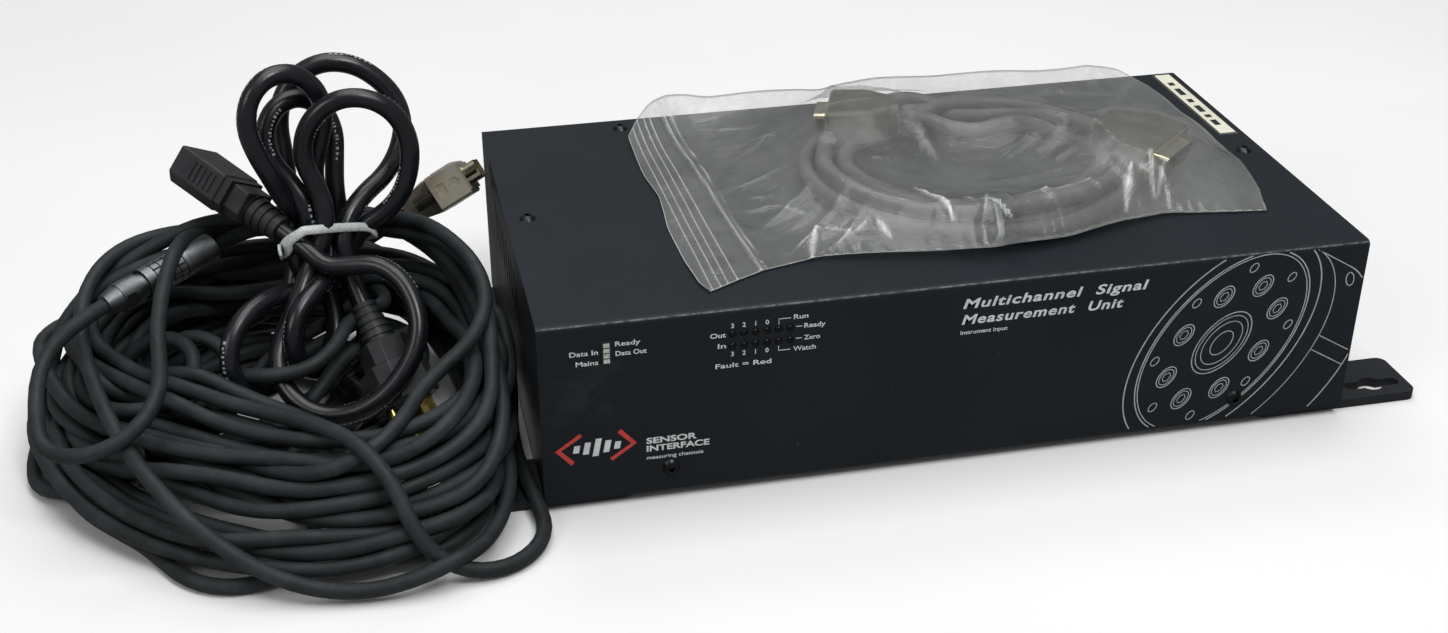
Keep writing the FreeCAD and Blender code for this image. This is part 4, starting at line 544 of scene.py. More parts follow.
MAINS = """
-254.9 2.7 84.7, -245.5 -6.6 80.0, -238.6 -13.2 73.5, -229.3 -15.4 73.9, -218.4 -18.5 75.1, -210.1 -25.3 71.7, -205.6 -33.1 64.6, -204.7 -40.7 56.2
-208.7 -47.2 47.7, -215.6 -52.2 40.1, -224.6 -54.6 33.5, -235.2 -54.4 29.4, -246.2 -51.5 29.1, -254.9 -45.4 33.1, -259.8 -37.3 39.5, -259.6 -28.6 46.6
-254.5 -21.7 54.2, -249.3 -15.9 62.6, -244.8 -8.2 69.7, -238.8 -4.7 78.5, -235.5 -1.5 88.9, -237.4 2.7 99.1, -242.1 4.8 109.3, -241.4 5.9 120.5
-235.3 6.5 130.2, -225.4 6.5 135.5, -214.2 6.0 134.5, -205.1 5.1 127.8, -200.8 4.0 117.4, -201.3 2.9 106.0, -205.1 2.4 95.2, -212.2 3.4 86.6
-221.9 5.1 80.7, -228.3 3.7 71.7, -233.9 -0.8 63.1, -243.3 -6.7 60.6, -253.9 -10.6 61.9, -262.0 -18.3 64.0, -269.9 -26.4 62.6, -276.2 -33.7 56.7
-278.2 -38.4 46.7, -274.1 -37.7 36.3, -266.0 -32.1 30.9, -258.2 -24.2 32.7, -253.6 -16.8 39.9, -252.1 -9.9 48.9, -252.6 -1.6 56.8, -250.3 5.5 65.1
-245.1 9.0 74.7, -245.4 9.1 85.6, -251.3 5.6 94.7, -254.8 3.3 105.3, -259.3 3.1 115.9, -262.2 4.1 126.9, -260.0 6.7 137.6, -252.4 11.0 144.7
-242.0 15.1 144.0, -234.3 17.2 136.1, -232.2 16.7 125.1, -235.4 14.3 114.4, -239.1 12.5 103.8, -238.3 11.9 92.5, -235.9 8.4 81.9, -235.7 1.3 73.0
-237.4 -8.5 67.5, -242.4 -18.7 66.4, -249.9 -26.0 62.4, -253.6 -31.6 53.3, -252.2 -32.7 42.2, -246.6 -27.3 34.3, -240.4 -18.0 33.9, -237.0 -8.8 39.5
-236.7 -2.0 48.7, -238.5 3.4 58.6, -241.5 3.0 69.5, -242.2 2.0 80.8, -242.9 3.9 92.0, -248.0 9.5 100.4, -254.8 11.8 109.2, -256.4 14.7 120.0
-251.2 19.7 128.6, -241.6 24.8 130.5, -232.8 27.4 124.3, -229.0 26.3 113.7, -230.3 22.0 103.3, -231.5 17.3 92.9, -230.7 14.9 81.8, -233.4 10.6 71.5
-231.5 7.1 61.0, -227.4 0.5 52.6, -224.3 -6.9 44.5, -226.3 -13.7 35.7, -234.1 -17.2 28.4, -244.9 -15.4 26.2, -253.0 -9.1 30.7, -254.7 -1.6 39.0
-250.4 3.0 48.3, -246.1 1.2 58.4, -248.7 -0.5 69.3, -250.1 5.4 78.7, -251.0 14.2 85.9, -249.5 19.1 96.1, -249.8 24.9 105.9, -250.9 29.5 116.3
-248.5 33.1 126.9, -241.4 35.6 135.3, -230.9 36.6 139.4, -219.7 36.4 137.8, -210.3 35.2 131.5, -203.4 33.1 122.6, -201.4 29.6 112.1, -204.9 25.0 102.3
-211.5 18.9 95.2, -219.9 12.0 91.7, -226.9 4.4 86.7, -231.1 -1.7 79.0, -228.8 -6.5 63.7, -224.6 -15.5 53.9
"""
DATA = """
91.0 -4.6 96.3, 82.4 4.8 98.1, 74.6 15.2 96.7, 65.6 24.1 94.3, 55.0 31.2 92.1, 43.6 37.2 90.2, 32.6 43.9 89.1, 21.2 49.6 90.9, 9.7 52.9 86.2
-2.9 50.9 84.9, -14.4 44.9 84.9, -24.7 36.9 84.9, -32.6 26.7 84.8, -37.2 14.6 84.8, -38.3 1.7 84.8, -36.2 -11.1 84.8, -32.1 -23.5 84.8, -26.5 -35.2 84.8
-18.4 -45.4 84.8, -8.4 -53.5 84.8, 3.2 -59.4 84.8, 15.8 -62.8 84.8, 28.6 -64.5 84.8, 41.6 -63.9 84.8, 54.2 -60.7 84.8, 65.6 -54.6 84.8, 76.0 -46.9 84.8
85.4 -37.8 84.8, 93.1 -27.4 84.8, 98.3 -15.5 84.8, 99.6 -2.6 84.8, 97.4 10.1 84.8, 92.3 22.1 84.8, 85.3 33.0 84.8, 75.8 41.9 84.9, 64.7 48.5 84.9
52.5 53.1 84.9, 39.8 55.6 84.8, 27.5 52.2 84.8, 16.1 46.1 84.8, 3.3 43.9 84.8, -8.8 39.3 84.8, -19.4 31.9 84.8, -27.1 21.5 84.8, -30.8 9.1 84.8
-30.4 -3.9 84.8, -27.0 -16.4 84.8, -22.0 -28.4 84.8, -14.0 -38.6 84.8, -4.4 -47.2 84.8, 7.4 -52.8 84.8, 20.0 -55.9 84.8, 32.8 -56.9 84.8
45.8 -55.8 84.8, 57.6 -50.7 84.8, 68.3 -43.2 84.8, 77.9 -34.5 84.8, 86.3 -24.7 84.8, 91.4 -12.8 84.8, 92.2 0.1 84.8, 88.3 12.5 84.8, 82.8 24.2 84.8
74.2 33.9 84.8, 63.4 41.1 84.8, 51.3 45.9 84.9, 39.3 49.4 87.6, 28.3 54.4 92.3, 15.8 55.9 94.1, 4.0 50.9 92.5, -7.0 44.1 91.4, -16.8 35.7 91.9
-24.0 24.9 92.0, -29.3 13.0 92.0, -33.0 0.6 91.7, -32.5 -12.3 91.4, -28.4 -24.6 91.4, -21.7 -35.8 91.1, -12.9 -45.3 91.1, -2.1 -52.4 91.1
10.2 -56.6 91.5, 23.1 -57.6 91.9, 36.0 -56.2 92.0, 48.8 -53.7 91.9, 61.3 -50.2 91.8, 72.7 -44.2 91.2, 82.3 -35.4 91.2, 90.3 -25.1 91.2, 95.1 -13.2 91.1
94.7 -0.3 91.5, 89.6 11.6 92.0, 83.4 23.0 92.0, 75.8 33.6 92.0, 66.5 42.6 91.5, 54.9 48.1 91.3, 42.3 46.9 93.4, 30.4 42.3 94.8, 18.4 40.2 90.4
6.1 37.0 88.1, -5.2 30.7 87.8, -14.8 21.9 88.0, -21.3 10.7 88.3, -23.1 -2.0 88.5, -20.1 -14.6 88.6, -14.3 -26.2 88.7, -6.2 -36.4 88.5, 4.2 -44.1 88.4
16.4 -48.5 88.5, 29.2 -50.2 87.5, 42.0 -48.4 87.9, 54.2 -44.0 88.3, 65.1 -37.1 87.9, 75.6 -29.6 90.0, 84.5 -20.5 91.1, 87.7 -8.1 90.4, 84.8 4.4 89.4
75.4 12.8 89.7, 63.6 14.9 94.4, 51.4 13.0 97.0, 39.2 13.6 93.2, 27.2 17.9 94.3, 16.8 24.2 98.2, 4.7 28.8 97.5
"""
LEAD_D, MAINS_D, DATA_D = 0.006, 0.0078, 0.007
lead = nurbs("sensor_lead", table(LEAD), LEAD_D / 2, "lead_jacket", res=3, ring=3)
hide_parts("lead_pile", "lead_tail_hood", "lead_tail_round")
mains = nurbs("mains_lead", table(MAINS), MAINS_D / 2, "mains_jacket", res=5, ring=4)
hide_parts("power_hank", "power_tail_connector", "power_tail_plug")
data = nurbs("data_lead", table(DATA), DATA_D / 2, "data_jacket", res=4, ring=4)
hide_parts("bag_coil")
DATA_PTS = line_of(data) * 1000.0
MAINS_PTS = line_of(mains)


# ------------------------------------------------------------------ printed front panel
class Flat:
    """Collects flat shapes on the front face: x, z in millimetres from the lower left corner."""

    def __init__(self):
        self.v, self.f = [], []

    def poly(self, pts, lift=0.03):
        b = len(self.v)
        n = len(pts)
        for x, z in pts:
            self.v.append(P(x, -lift, z))
        for x, z in pts:
            self.v.append(P(x, 0.01, z))
        self.f.append(list(range(b, b + n)))
        self.f.append([b + n + i for i in range(n - 1, -1, -1)])
        for i in range(n):
            j = (i + 1) % n
            self.f.append([b + i, b + n + i, b + n + j, b + j])

    def line(self, pts, w, closed=False, lift=0.03):
        pts = [Vector((p[0], p[1])) for p in pts]
        if closed:
            pts = pts + [pts[0]]
        n = len(pts)
        L, R_ = [], []
        for i in range(n):
            if closed and i in (0, n - 1):
                d = pts[1] - pts[-2]
            else:
                d = pts[min(i + 1, n - 1)] - pts[max(i - 1, 0)]
            if d.length < 1e-9:
                d = Vector((1, 0))
            d.normalize()
            k = Vector((-d.y, d.x)) * (w / 2)
            L.append(pts[i] + k)
            R_.append(pts[i] - k)
        b = len(self.v)
        for a in (-lift, 0.01):
            for i in range(n):
                self.v.append(P(L[i].x, a, L[i].y))
                self.v.append(P(R_[i].x, a, R_[i].y))
        m = 2 * n
        for i in range(n - 1):
            p, q, r, s = b + 2 * i, b + 2 * i + 1, b + 2 * i + 3, b + 2 * i + 2
            self.f += [[p, q, r, s], [p + m, s + m, r + m, q + m], [q, q + m, r + m, r], [s, s + m, p + m, p]]
        self.f += [[b, b + m, b + m + 1, b + 1], [b + 2 * n - 2, b + 2 * n - 1, b + m + 2 * n - 1, b + m + 2 * n - 2]]

    def make(self, name, mat, slot="cover_paint"):
        return mesh_obj(name, self.v, self.f, mat)


def words(store, s, x, z, cap, align="LEFT", bold=0.0, shear=0.0, spacing=1.0, width=None, rot=0.0):
    cu = bpy.data.curves.new("t", "FONT")
    cu.body = s
    cu.size = 1.0
    cu.offset = bold
    cu.shear = shear
    cu.space_character = spacing
    cu.resolution_u = 4
    cu.extrude = 0.0
    o = bpy.data.objects.new("t", cu)
    SC.collection.objects.link(o)
    bpy.context.view_layer.update()
    me = bpy.data.meshes.new_from_object(o.evaluated_get(bpy.context.evaluated_depsgraph_get()))
    co = np.array([v.co[:2] for v in me.vertices])
    k = cap / 0.70
    wid = (co[:, 0].max() - co[:, 0].min()) * k
    kx = k * (width / wid if width else 1.0)
    x0 = co[:, 0].min()
    wid = (co[:, 0].max() - x0) * kx
    sx = {"LEFT": 0.0, "RIGHT": -wid, "CENTER": -wid / 2}[align]
    b = len(store.v)
    n = len(co)
    for lift in (-0.03, 0.01):
        for c in co:
            store.v.append(P(x + sx + (c[0] - x0) * kx, lift, z + c[1] * k))
    for p in me.polygons:
        vs_ = list(p.vertices)
        store.f.append([b + i for i in vs_])
        store.f.append([b + n + i for i in reversed(vs_)])
    # sides along the open edges
    cnt = {}
    for p in me.polygons:
        vs_ = list(p.vertices)
        for i in range(len(vs_)):
            e = (vs_[i], vs_[(i + 1) % len(vs_)])
            cnt[e] = cnt.get(e, 0) + 1
    for (i, j) in cnt:
        if (j, i) not in cnt:
            store.f.append([b + j, b + i, b + n + i, b + n + j])
    bpy.data.objects.remove(o)
    bpy.data.meshes.remove(me)
    bpy.data.curves.remove(cu)


pw, pl_, prd = Flat(), Flat(), Flat()
words(pw, "Multichannel  Signal", 162.8, 65.6, 4.0, bold=0.024, shear=0.22, spacing=1.12, width=75.5)
words(pw, "Measurement  Unit", 162.6, 58.7, 4.0, bold=0.024, shear=0.22, spacing=1.12, width=66.0)
words(pw, "instrument input", 162.4, 54.3, 1.7, bold=0.012, width=19.0)
words(pw, "Data In", 22.4, 63.2, 1.95, "RIGHT", bold=0.014, width=10.6)
words(pw, "Mains", 22.4, 58.9, 1.95, "RIGHT", bold=0.014, width=8.4)
words(pw, "Ready", 28.8, 65.9, 1.95, bold=0.014, width=9.4)
words(pw, "Data Out", 28.9, 61.8, 1.95, bold=0.014, width=11.6)
words(pw, "Out", 70.4, 64.6, 1.95, "RIGHT", bold=0.014, width=6.0)
words(pw, "In", 70.4, 60.0, 1.95, "RIGHT", bold=0.014, width=3.1)
for i, c in enumerate("3210"):
    words(pw, c, 72.9 + 4.42 * i, 68.2, 1.9, "CENTER", bold=0.014)
    words(pw, c, 72.9 + 4.42 * i, 56.2, 1.9, "CENTER", bold=0.014)
words(pw, "Run", 96.3, 69.2, 1.95, bold=0.014, width=5.6)
words(pw, "Ready", 100.4, 65.0, 1.95, bold=0.014, width=8.2)
words(pw, "Zero", 100.4, 59.9, 1.95, bold=0.014, width=6.2)
words(pw, "Watch", 96.3, 55.5, 1.95, bold=0.014, width=8.8)
words(pw, "Fault = Red", 66.4, 51.4, 1.95, bold=0.014, width=21.5)
pw.line([(90.6, 67.6), (90.6, 69.9), (95.2, 69.9)], 0.32)
pw.line([(90.6, 58.4), (90.6, 56.4), (95.2, 56.4)], 0.32)
pw.line([(97.2, 65.9), (99.6, 65.9)], 0.32)
pw.line([(97.2, 60.8), (99.6, 60.8)], 0.32)
words(pw, "SENSOR", 39.6, 21.9, 2.5, bold=0.03, width=19.5)
words(pw, "INTERFACE", 39.6, 18.4, 2.5, bold=0.03, width=24.4)
words(pw, "measuring channels", 39.6, 14.8, 1.6, bold=0.01, width=22.0)
# emblem: a red six-sided frame with rising white bars
cx, cz = 20.4, 23.0
hexo = [(cx + 15.6 * math.cos(math.radians(60 * i)) + 0.28 * 7.6 * math.sin(math.radians(60 * i)),
         cz + 7.9 * math.sin(math.radians(60 * i))) for i in range(6)]
hexi = [(cx + (x - cx) * 0.86, cz + (z - cz) * 0.80) for x, z in hexo]
for i in range(6):
    j = (i + 1) % 6
    if i in (1, 4):
        continue
    prd.poly([hexo[i], hexo[j], hexi[j], hexi[i]])
for k_, (h0, h1) in enumerate(((0.0, 3.2), (0.0, 5.2), (0.0, 7.6), (0.0, 5.2), (0.0, 3.2))):
    bx = cx - 8.6 + 3.9 * k_
    bz = cz - h1 / 2
    pw.poly([(bx - 0.2 * h1 / 2, bz), (bx + 2.3 - 0.2 * h1 / 2, bz), (bx + 2.3 + 0.2 * h1 / 2, bz + h1), (bx + 0.2 * h1 / 2, bz + h1)])

# line drawing of a plain bolted flange, running off the panel's right end
FX, FZ, TILT = 273.0, 37.0, math.radians(52)


def ell(cx_, cz_, a, b, tilt, a0=0.0, a1=360.0, n=96):
    out = []
    for i in range(n + 1):
        t = math.radians(a0 + (a1 - a0) * i / n)
        u, v = a * math.cos(t), b * math.sin(t)
        out.append((cx_ + u * math.cos(tilt) - v * math.sin(tilt), cz_ + u * math.sin(tilt) + v * math.cos(tilt)))
    return out


def clipped(pts, w):
    run = []
    for p in pts:
        ok = 0.6 < p[0] < 330.6 and 0.9 < p[1] < 75.0
        if ok:
            run.append(p)
        if not ok or p is pts[-1]:
            if len(run) > 2:
                pl_.line(run, w)
            run = []


def at(r, deg, ratio=0.60):
    t = math.radians(deg)
    u, v = r * math.cos(t), r * ratio * math.sin(t)
    return FX + u * math.cos(TILT) - v * math.sin(TILT), FZ + u * math.sin(TILT) + v * math.cos(TILT)


for r, w_ in ((51.0, 0.55), (45.0, 0.5), (43.6, 0.4), (15.5, 0.45), (13.6, 0.35), (10.8, 0.35), (6.0, 0.4)):
    clipped(ell(FX, FZ, r, r * 0.60, TILT, n=220), w_)
for k_ in range(8):
    px, pz = at(28.5, 45 * k_ + 12)
    for r, w_ in ((5.2, 0.45), (3.9, 0.35)):
        clipped(ell(px, pz, r, r * 0.62, TILT, n=48), w_)
    hx = [(px + 2.3 * math.cos(math.radians(60 * i + 10)) * math.cos(TILT) - 2.3 * 0.62 * math.sin(math.radians(60 * i + 10)) * math.sin(TILT),
           pz + 2.3 * math.cos(math.radians(60 * i + 10)) * math.sin(TILT) + 2.3 * 0.62 * math.sin(math.radians(60 * i + 10)) * math.cos(TILT)) for i in range(7)]
    clipped(hx, 0.35)
    px, pz = at(38.0, 45 * k_ + 34)
    clipped(ell(px, pz, 2.2, 2.2 * 0.62, TILT, n=32), 0.4)
# side wall of the flange
DX, DZ = 22.0, -13.0
for q, a0, a1 in ((0.30, -175.5, 4.5), (1.0, -175.5, 4.5)):
    clipped([(x + DX * q, z + DZ * q) for x, z in ell(FX, FZ, 51.0, 51.0 * 0.60, TILT, a0, a1, 200)], 0.55 if q == 1.0 else 0.4)
clipped([(x + DX * 1.75, z + DZ * 1.75) for x, z in ell(FX, FZ, 45.0, 45.0 * 0.60, TILT, -150, -8, 160)], 0.45)
clipped([(x + DX * 1.9, z + DZ * 1.9) for x, z in ell(FX, FZ, 45.0, 45.0 * 0.60, TILT, -140, -12, 160)], 0.4)
for dg in (-175.5, -70, -62, 4.5):
    ax_, az_ = at(51.0, dg)
    n_ = 16
    q0 = 0.30 if dg in (-70, -62) else 0.0
    clipped([(ax_ + DX * (q0 + (1 - q0) * i / n_), az_ + DZ * (q0 + (1 - q0) * i / n_)) for i in range(n_ + 1)], 0.4)
px, pz = at(51.0, -20)
clipped(ell(px + DX * 0.65, pz + DZ * 0.65, 3.0, 1.7, math.radians(100), n=40), 0.4)

pw.make("print_words", "ink_white")
pl_.make("print_drawing", "ink_grey")
prd.make("print_emblem", "ink_red")

# label on top: plain border and a few blank bars
lab = []
lf = []


def bar_top(x0, y0, x1, y1, z0=H + 0.222, z1=H + 0.25):
    b = len(lab)
    for z in (z0, z1):
        for x, y in ((x0, y0), (x1, y0), (x1, y1), (x0, y1)):
            lab.append(P(x, y, z))
    for f in ((0, 3, 2, 1), (4, 5, 6, 7), (0, 1, 5, 4), (1, 2, 6, 5), (2, 3, 7, 6), (3, 0, 4, 7)):
        lf.append([b + i for i in f])


X0, X1, Y0, Y1 = W - 11.6, W - 2.5, 110.2, D - 1.5
bar_top(X0, Y0, X0 + 0.8, Y1)
bar_top(X1 - 0.8, Y0, X1, Y1)
bar_top(X0 + 0.8, Y0, X1 - 0.8, Y0 + 0.8)
bar_top(X0 + 0.8, Y1 - 0.8, X1 - 0.8, Y1)
for y, h_ in ((120.0, 6.0), (129.0, 3.2), (135.5, 7.5), (147.0, 4.0), (156.0, 8.0), (168.0, 3.6)):
    bar_top(X0 + 2.8, y, X1 - 3.4, y + h_)
mesh_obj("label_marks", lab, lf, "ink_dark")


# ------------------------------------------------------------------ tie strap round the hank
TC = np.array(P(-73.0, 96.0, 71.5)[:])
AX = np.array((-0.10, 0.50, 0.86))
AX /= np.linalg.norm(AX)
E1 = np.array((1.0, 0, 0)) - AX * AX[0]
E1 /= np.linalg.norm(E1)
E2 = np.cross(AX, E1)
rel = MAINS_PTS - TC
s_ = rel @ AX
sel = rel[np.abs(s_) < 0.0042]
sel = sel[np.linalg.norm(sel - np.outer(sel @ AX, AX), axis=1) < 0.024]
ab = np.stack([sel @ E1, sel @ E2], 1)
mid = ab.mean(0)
ab0 = ab - mid
prof_r = []
NA = 72
for i in range(NA):
    t = 2 * math.pi * i / NA
    dr = np.array((math.cos(t), math.sin(t)))
    prof_r.append((ab0 @ dr).max() + 0.0039 + 0.0003)
# support function to outline
h_ = np.array(prof_r)
hd = (np.roll(h_, -1) - np.roll(h_, 1)) / (2 * 2 * math.pi / NA)
outl = [(h_[i] * math.cos(2 * math.pi * i / NA) - hd[i] * math.sin(2 * math.pi * i / NA),
         h_[i] * math.sin(2 * math.pi * i / NA) + hd[i] * math.cos(2 * math.pi * i / NA)) for i in range(NA)]
outl = np.array(outl)
for _ in range(6):
    outl = 0.25 * np.roll(outl, 1, 0) + 0.5 * outl + 0.25 * np.roll(outl, -1, 0)


def strap(points, axis, width, thick, closed, taper=None):
    """A flat strap whose width runs along axis; points is its middle line."""
    pts = [np.array(p) for p in points]
    n = len(pts)
    v, f = [], []
    for i in range(n):
        a = pts[(i - 1) % n] if closed or i > 0 else pts[i]
        b = pts[(i + 1) % n] if closed or i < n - 1 else pts[i]
        tg = b - a
        tg /= np.linalg.norm(tg)
        ax = np.array(axis[i] if isinstance(axis, list) else axis, float)
        ax = ax - tg * (ax @ tg)
        ax /= np.linalg.norm(ax)
        nr = np.cross(tg, ax)
        wv = width * (taper[i] if taper else 1.0)
        for (p, q) in ((-0.5, -0.5), (-0.42, 0.5), (0, 0.62), (0.42, 0.5), (0.5, -0.5), (0.42, -0.75), (0, -0.62), (-0.42, -0.75)):
            v.append(pts[i] + ax * (p * wv) + nr * (q * thick))
    m = n if closed else n - 1
    for i in range(m):
        j = (i + 1) % n
        for k in range(8):
            l_ = (k + 1) % 8
            f.append([i * 8 + k, i * 8 + l_, j * 8 + l_, j * 8 + k])
    if not closed:
        f.append(list(range(7, -1, -1)))
        f.append([(n - 1) * 8 + k for k in range(8)])
    return v, f


loop = [TC + E1 * (mid[0] + p[0] * 1.0) + E2 * (mid[1] + p[1]) + AX * (0.0009 * math.sin(2 * math.pi * i / NA) + 0.0062 * max(0.0, -math.sin(2 * math.pi * i / NA)) ** 2) for i, p in enumerate(outl)]
cen = TC + E1 * mid[0] + E2 * mid[1]
loop = [p + (p - cen) / np.linalg.norm(p - cen) * 0.0006 for p in loop]
# the band turns its flat side outward at the left, and thins round the back
VW = np.array((-0.19, -0.854, 0.485))
axes, taper = [], []
for i in range(NA):
    tg = loop[(i + 1) % NA] - loop[i - 1]
    tg /= np.linalg.norm(tg)
    flat_ = np.cross(VW, tg)
    flat_ /= np.linalg.norm(flat_)
    if flat_ @ AX < 0:
        flat_ = -flat_
    d_ = (i / NA - 0.56 + 0.5) % 1.0 - 0.5
    w_ = math.exp(-(d_ / 0.085) ** 2)
    axes.append(AX * (1 - w_) + flat_ * w_)
    taper.append(0.72 + 0.42 * w_)
sv, sf = strap(loop, axes, 0.0052, 0.0009, True, taper)
# overlapping end that leaves the loop at the front
i0 = int(NA * 0.47)
tail = []
for k in range(10):
    i = (i0 + k) % NA
    p = loop[i]
    out = (p - cen) / np.linalg.norm(p - cen)
    tail.append(p + out * (0.0010 + 0.00003 * k * k) + AX * (-0.00012 * k))
tv, tf = strap(tail, AX, 0.0056, 0.0009, False, [0.9 if k > 7 else 1.0 for k in range(10)])
b = len(sv)
tie = mesh_obj("tie_strap", sv + tv, sf + [[b + i for i in f_] for f_ in tf], "tie_strap", smooth=True)
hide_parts("cord_tie")


# ------------------------------------------------------------------ print marks along the mains lead
def frames(pts):
    n = len(pts)
    T = np.gradient(pts, axis=0)
    T /= np.linalg.norm(T, axis=1, keepdims=True)
    U = np.zeros_like(pts)
    u = np.cross(T[0], (0.3, 0.2, 0.9))
    u /= np.linalg.norm(u)
    for i in range(n):
        u = u - T[i] * (u @ T[i])
        u /= np.linalg.norm(u)
        U[i] = u
    return T, U, np.cross(T, U)


mt, mu, mw = frames(MAINS_PTS)
ml = np.r_[0, np.cumsum(np.linalg.norm(np.diff(MAINS_PTS, axis=0), axis=1))]


def on_lead(s, ang, r):
    p = np.array([np.interp(s, ml, MAINS_PTS[:, k]) for k in range(3)])
    a = np.array([np.interp(s, ml, mu[:, k]) for k in range(3)])
    b = np.array([np.interp(s, ml, mw[:, k]) for k in range(3)])
    return p + (a * math.cos(ang) + b * math.sin(ang)) * r


rm = np.random.RandomState(12)
mv, mf = [], []
RM = MAINS_D / 2
for base in (1.15, 1.15 + math.pi):
    s = 0.045
    while s < ml[-1] - 0.05:
        for _ in range(rm.randint(9, 16)):
            ln = rm.uniform(0.0005, 0.0011)
            h0, h1 = -0.16, 0.16
            if rm.rand() < 0.4:
                h0, h1 = (-0.16, 0.02) if rm.rand() < 0.5 else (-0.02, 0.16)
            b = len(mv)
            for r in (RM - 0.00006, RM + 0.00005):
                for q in (0.0, 0.5, 1.0):
                    for h in (h0, (h0 + h1) / 2, h1):
                        mv.append(on_lead(s + ln * q, base + h, r))
            for i in range(2):
                for j in range(2):
                    a0 = b + i * 3 + j
                    mf.append((a0, a0 + 1, a0 + 4, a0 + 3))
                    a1 = a0 + 9
                    mf.append((a1, a1 + 3, a1 + 4, a1 + 1))
            for e in ((0, 1), (1, 2), (2, 5), (5, 8), (8, 7), (7, 6), (6, 3), (3, 0)):
                mf.append((b + e[1], b + e[0], b + e[0] + 9, b + e[1] + 9))
            s += ln + rm.uniform(0.0005, 0.0013)
            if s > ml[-1] - 0.04:
                break
        s += rm.uniform(0.02, 0.05)
mesh_obj("lead_print", mv, mf, "ink_grey")

# ------------------------------------------------------------------ wire twist round the front of the bagged coil
OFFN = np.array(OFF[:])
dpt = DATA_PTS - OFFN
XT = 186.0
near_t = dpt[(np.abs(dpt[:, 0] - XT) < 3.5) & (dpt[:, 1] < 70)]
ct = np.array((near_t[:, 1].mean(), near_t[:, 2].mean()))
ra = near_t[:, 1:] - ct
nt_ = 60
hh_ = np.array([(ra @ np.array((math.cos(2 * math.pi * i / nt_), math.sin(2 * math.pi * i / nt_)))).max() + 3.5 + 0.55 for i in range(nt_)])
hd_ = (np.roll(hh_, -1) - np.roll(hh_, 1)) / (4 * math.pi / nt_)
ov = np.array([(hh_[i] * math.cos(2 * math.pi * i / nt_) - hd_[i] * math.sin(2 * math.pi * i / nt_),
                hh_[i] * math.sin(2 * math.pi * i / nt_) + hd_[i] * math.cos(2 * math.pi * i / nt_)) for i in range(nt_)])
for _ in range(3):
    ov = 0.25 * np.roll(ov, 1, 0) + 0.5 * ov + 0.25 * np.roll(ov, -1, 0)
tw_b = [np.array((XT + 1.1 * math.sin(2 * math.pi * i / nt_), ct[0] + p[0], max(ct[1] + p[1], H + 0.9))) for i, p in enumerate(ov)]
itop = int(np.argmax([p[2] - 0.6 * p[1] for p in tw_b]))
root_p = tw_b[itop]
tv2, tf2 = strap([P(*p) for p in tw_b], Vector((1, 0, 0)), 0.0030, 0.0006, True)
tips = []
for k in range(2):
    line = []
    for i in range(15):
        q = i / 14
        an = q * 9.0 + math.pi * k
        c_ = root_p + np.array((1.0, -7.5, -1.0)) * q * 1.45 + np.array((0.0, 0.0, 0.9))
        line.append(P(c_[0] + 0.75 * math.cos(an), c_[1], c_[2] + 0.75 * math.sin(an)))
    a_, b_ = strap(line, Vector((0.3, 0.0, 1.0)), 0.0016, 0.0006, False)
    n0 = len(tv2)
    tv2 += a_
    tf2 += [[n0 + i for i in f_] for f_ in b_]
    tips += [np.array(l_[:]) * 1000 - OFFN for l_ in line]
mesh_obj("wire_twist", tv2, tf2, "tie_strap", smooth=True)


# ------------------------------------------------------------------ clear zip bag
BZ = H + 0.05


def m_film():
    t = NT("bag_film")
    at_ = t.n("ShaderNodeAttribute", attribute_name="veil_and_glint")
    n1 = t.noise(70, 6, 0.7, 1.0)
    n2 = t.noise(26, 3, 0.55, 0.5, w=(3, 1, 5))
    col = t.mix(t.rng(n2, 0.0, 1.0, 0.35, 0.65), (0.30, 0.315, 0.305), (0.38, 0.395, 0.38))
    # the film turns pale grey to near white where its veil attribute is high: the milky film itself, and painted
    # highlights along creases and ridges
    col = t.mix(t.rng(at_.outputs["Fac"], 0.0, 1.0, 0.34, 0.75), col, (0.82, 0.83, 0.82))
    lw = t.n("ShaderNodeLayerWeight")
    lw.inputs["Blend"].default_value = 0.22
    a = t.math("ADD", at_.outputs["Fac"], t.math("MULTIPLY", lw.outputs["Facing"], 0.10))
    a = t.math("ADD", a, t.rng(n1, -0.05, 0.07))
    cl = t.n("ShaderNodeClamp")
    cl.inputs["Min"].default_value = 0.05
    cl.inputs["Max"].default_value = 0.96
    t.link(a, cl.inputs["Value"])
    crease = t.noise(120, 4, 0.6, 1.6, stretch=(1.0, 1.6, 1.0))
    fine_ = t.noise(520, 3, 0.6, 0.8)
    nb = t.bump(crease, 0.30, 0.0016, after=t.bump(fine_, 0.2, 0.0003))
    return t.set(color=col, rough=t.rng(t.noise(60, 4, 0.6, w=(2, 8, 8)), 0.08, 0.2), alpha=cl.outputs[0], normal=nb, spec=0.9,
                 coat=0.5, coat_rough=0.05)


MATS["bag_film"] = m_film()


def interp_line(pts, u):
    """Line through pts, interpolated linearly by relative length."""
    p = np.array(pts, float)
    s = np.r_[0, np.cumsum(np.linalg.norm(np.diff(p, axis=0), axis=1))]
    s /= s[-1]
    out = np.stack([np.interp(u, s, p[:, k]) for k in range(2)], 1)
    return out


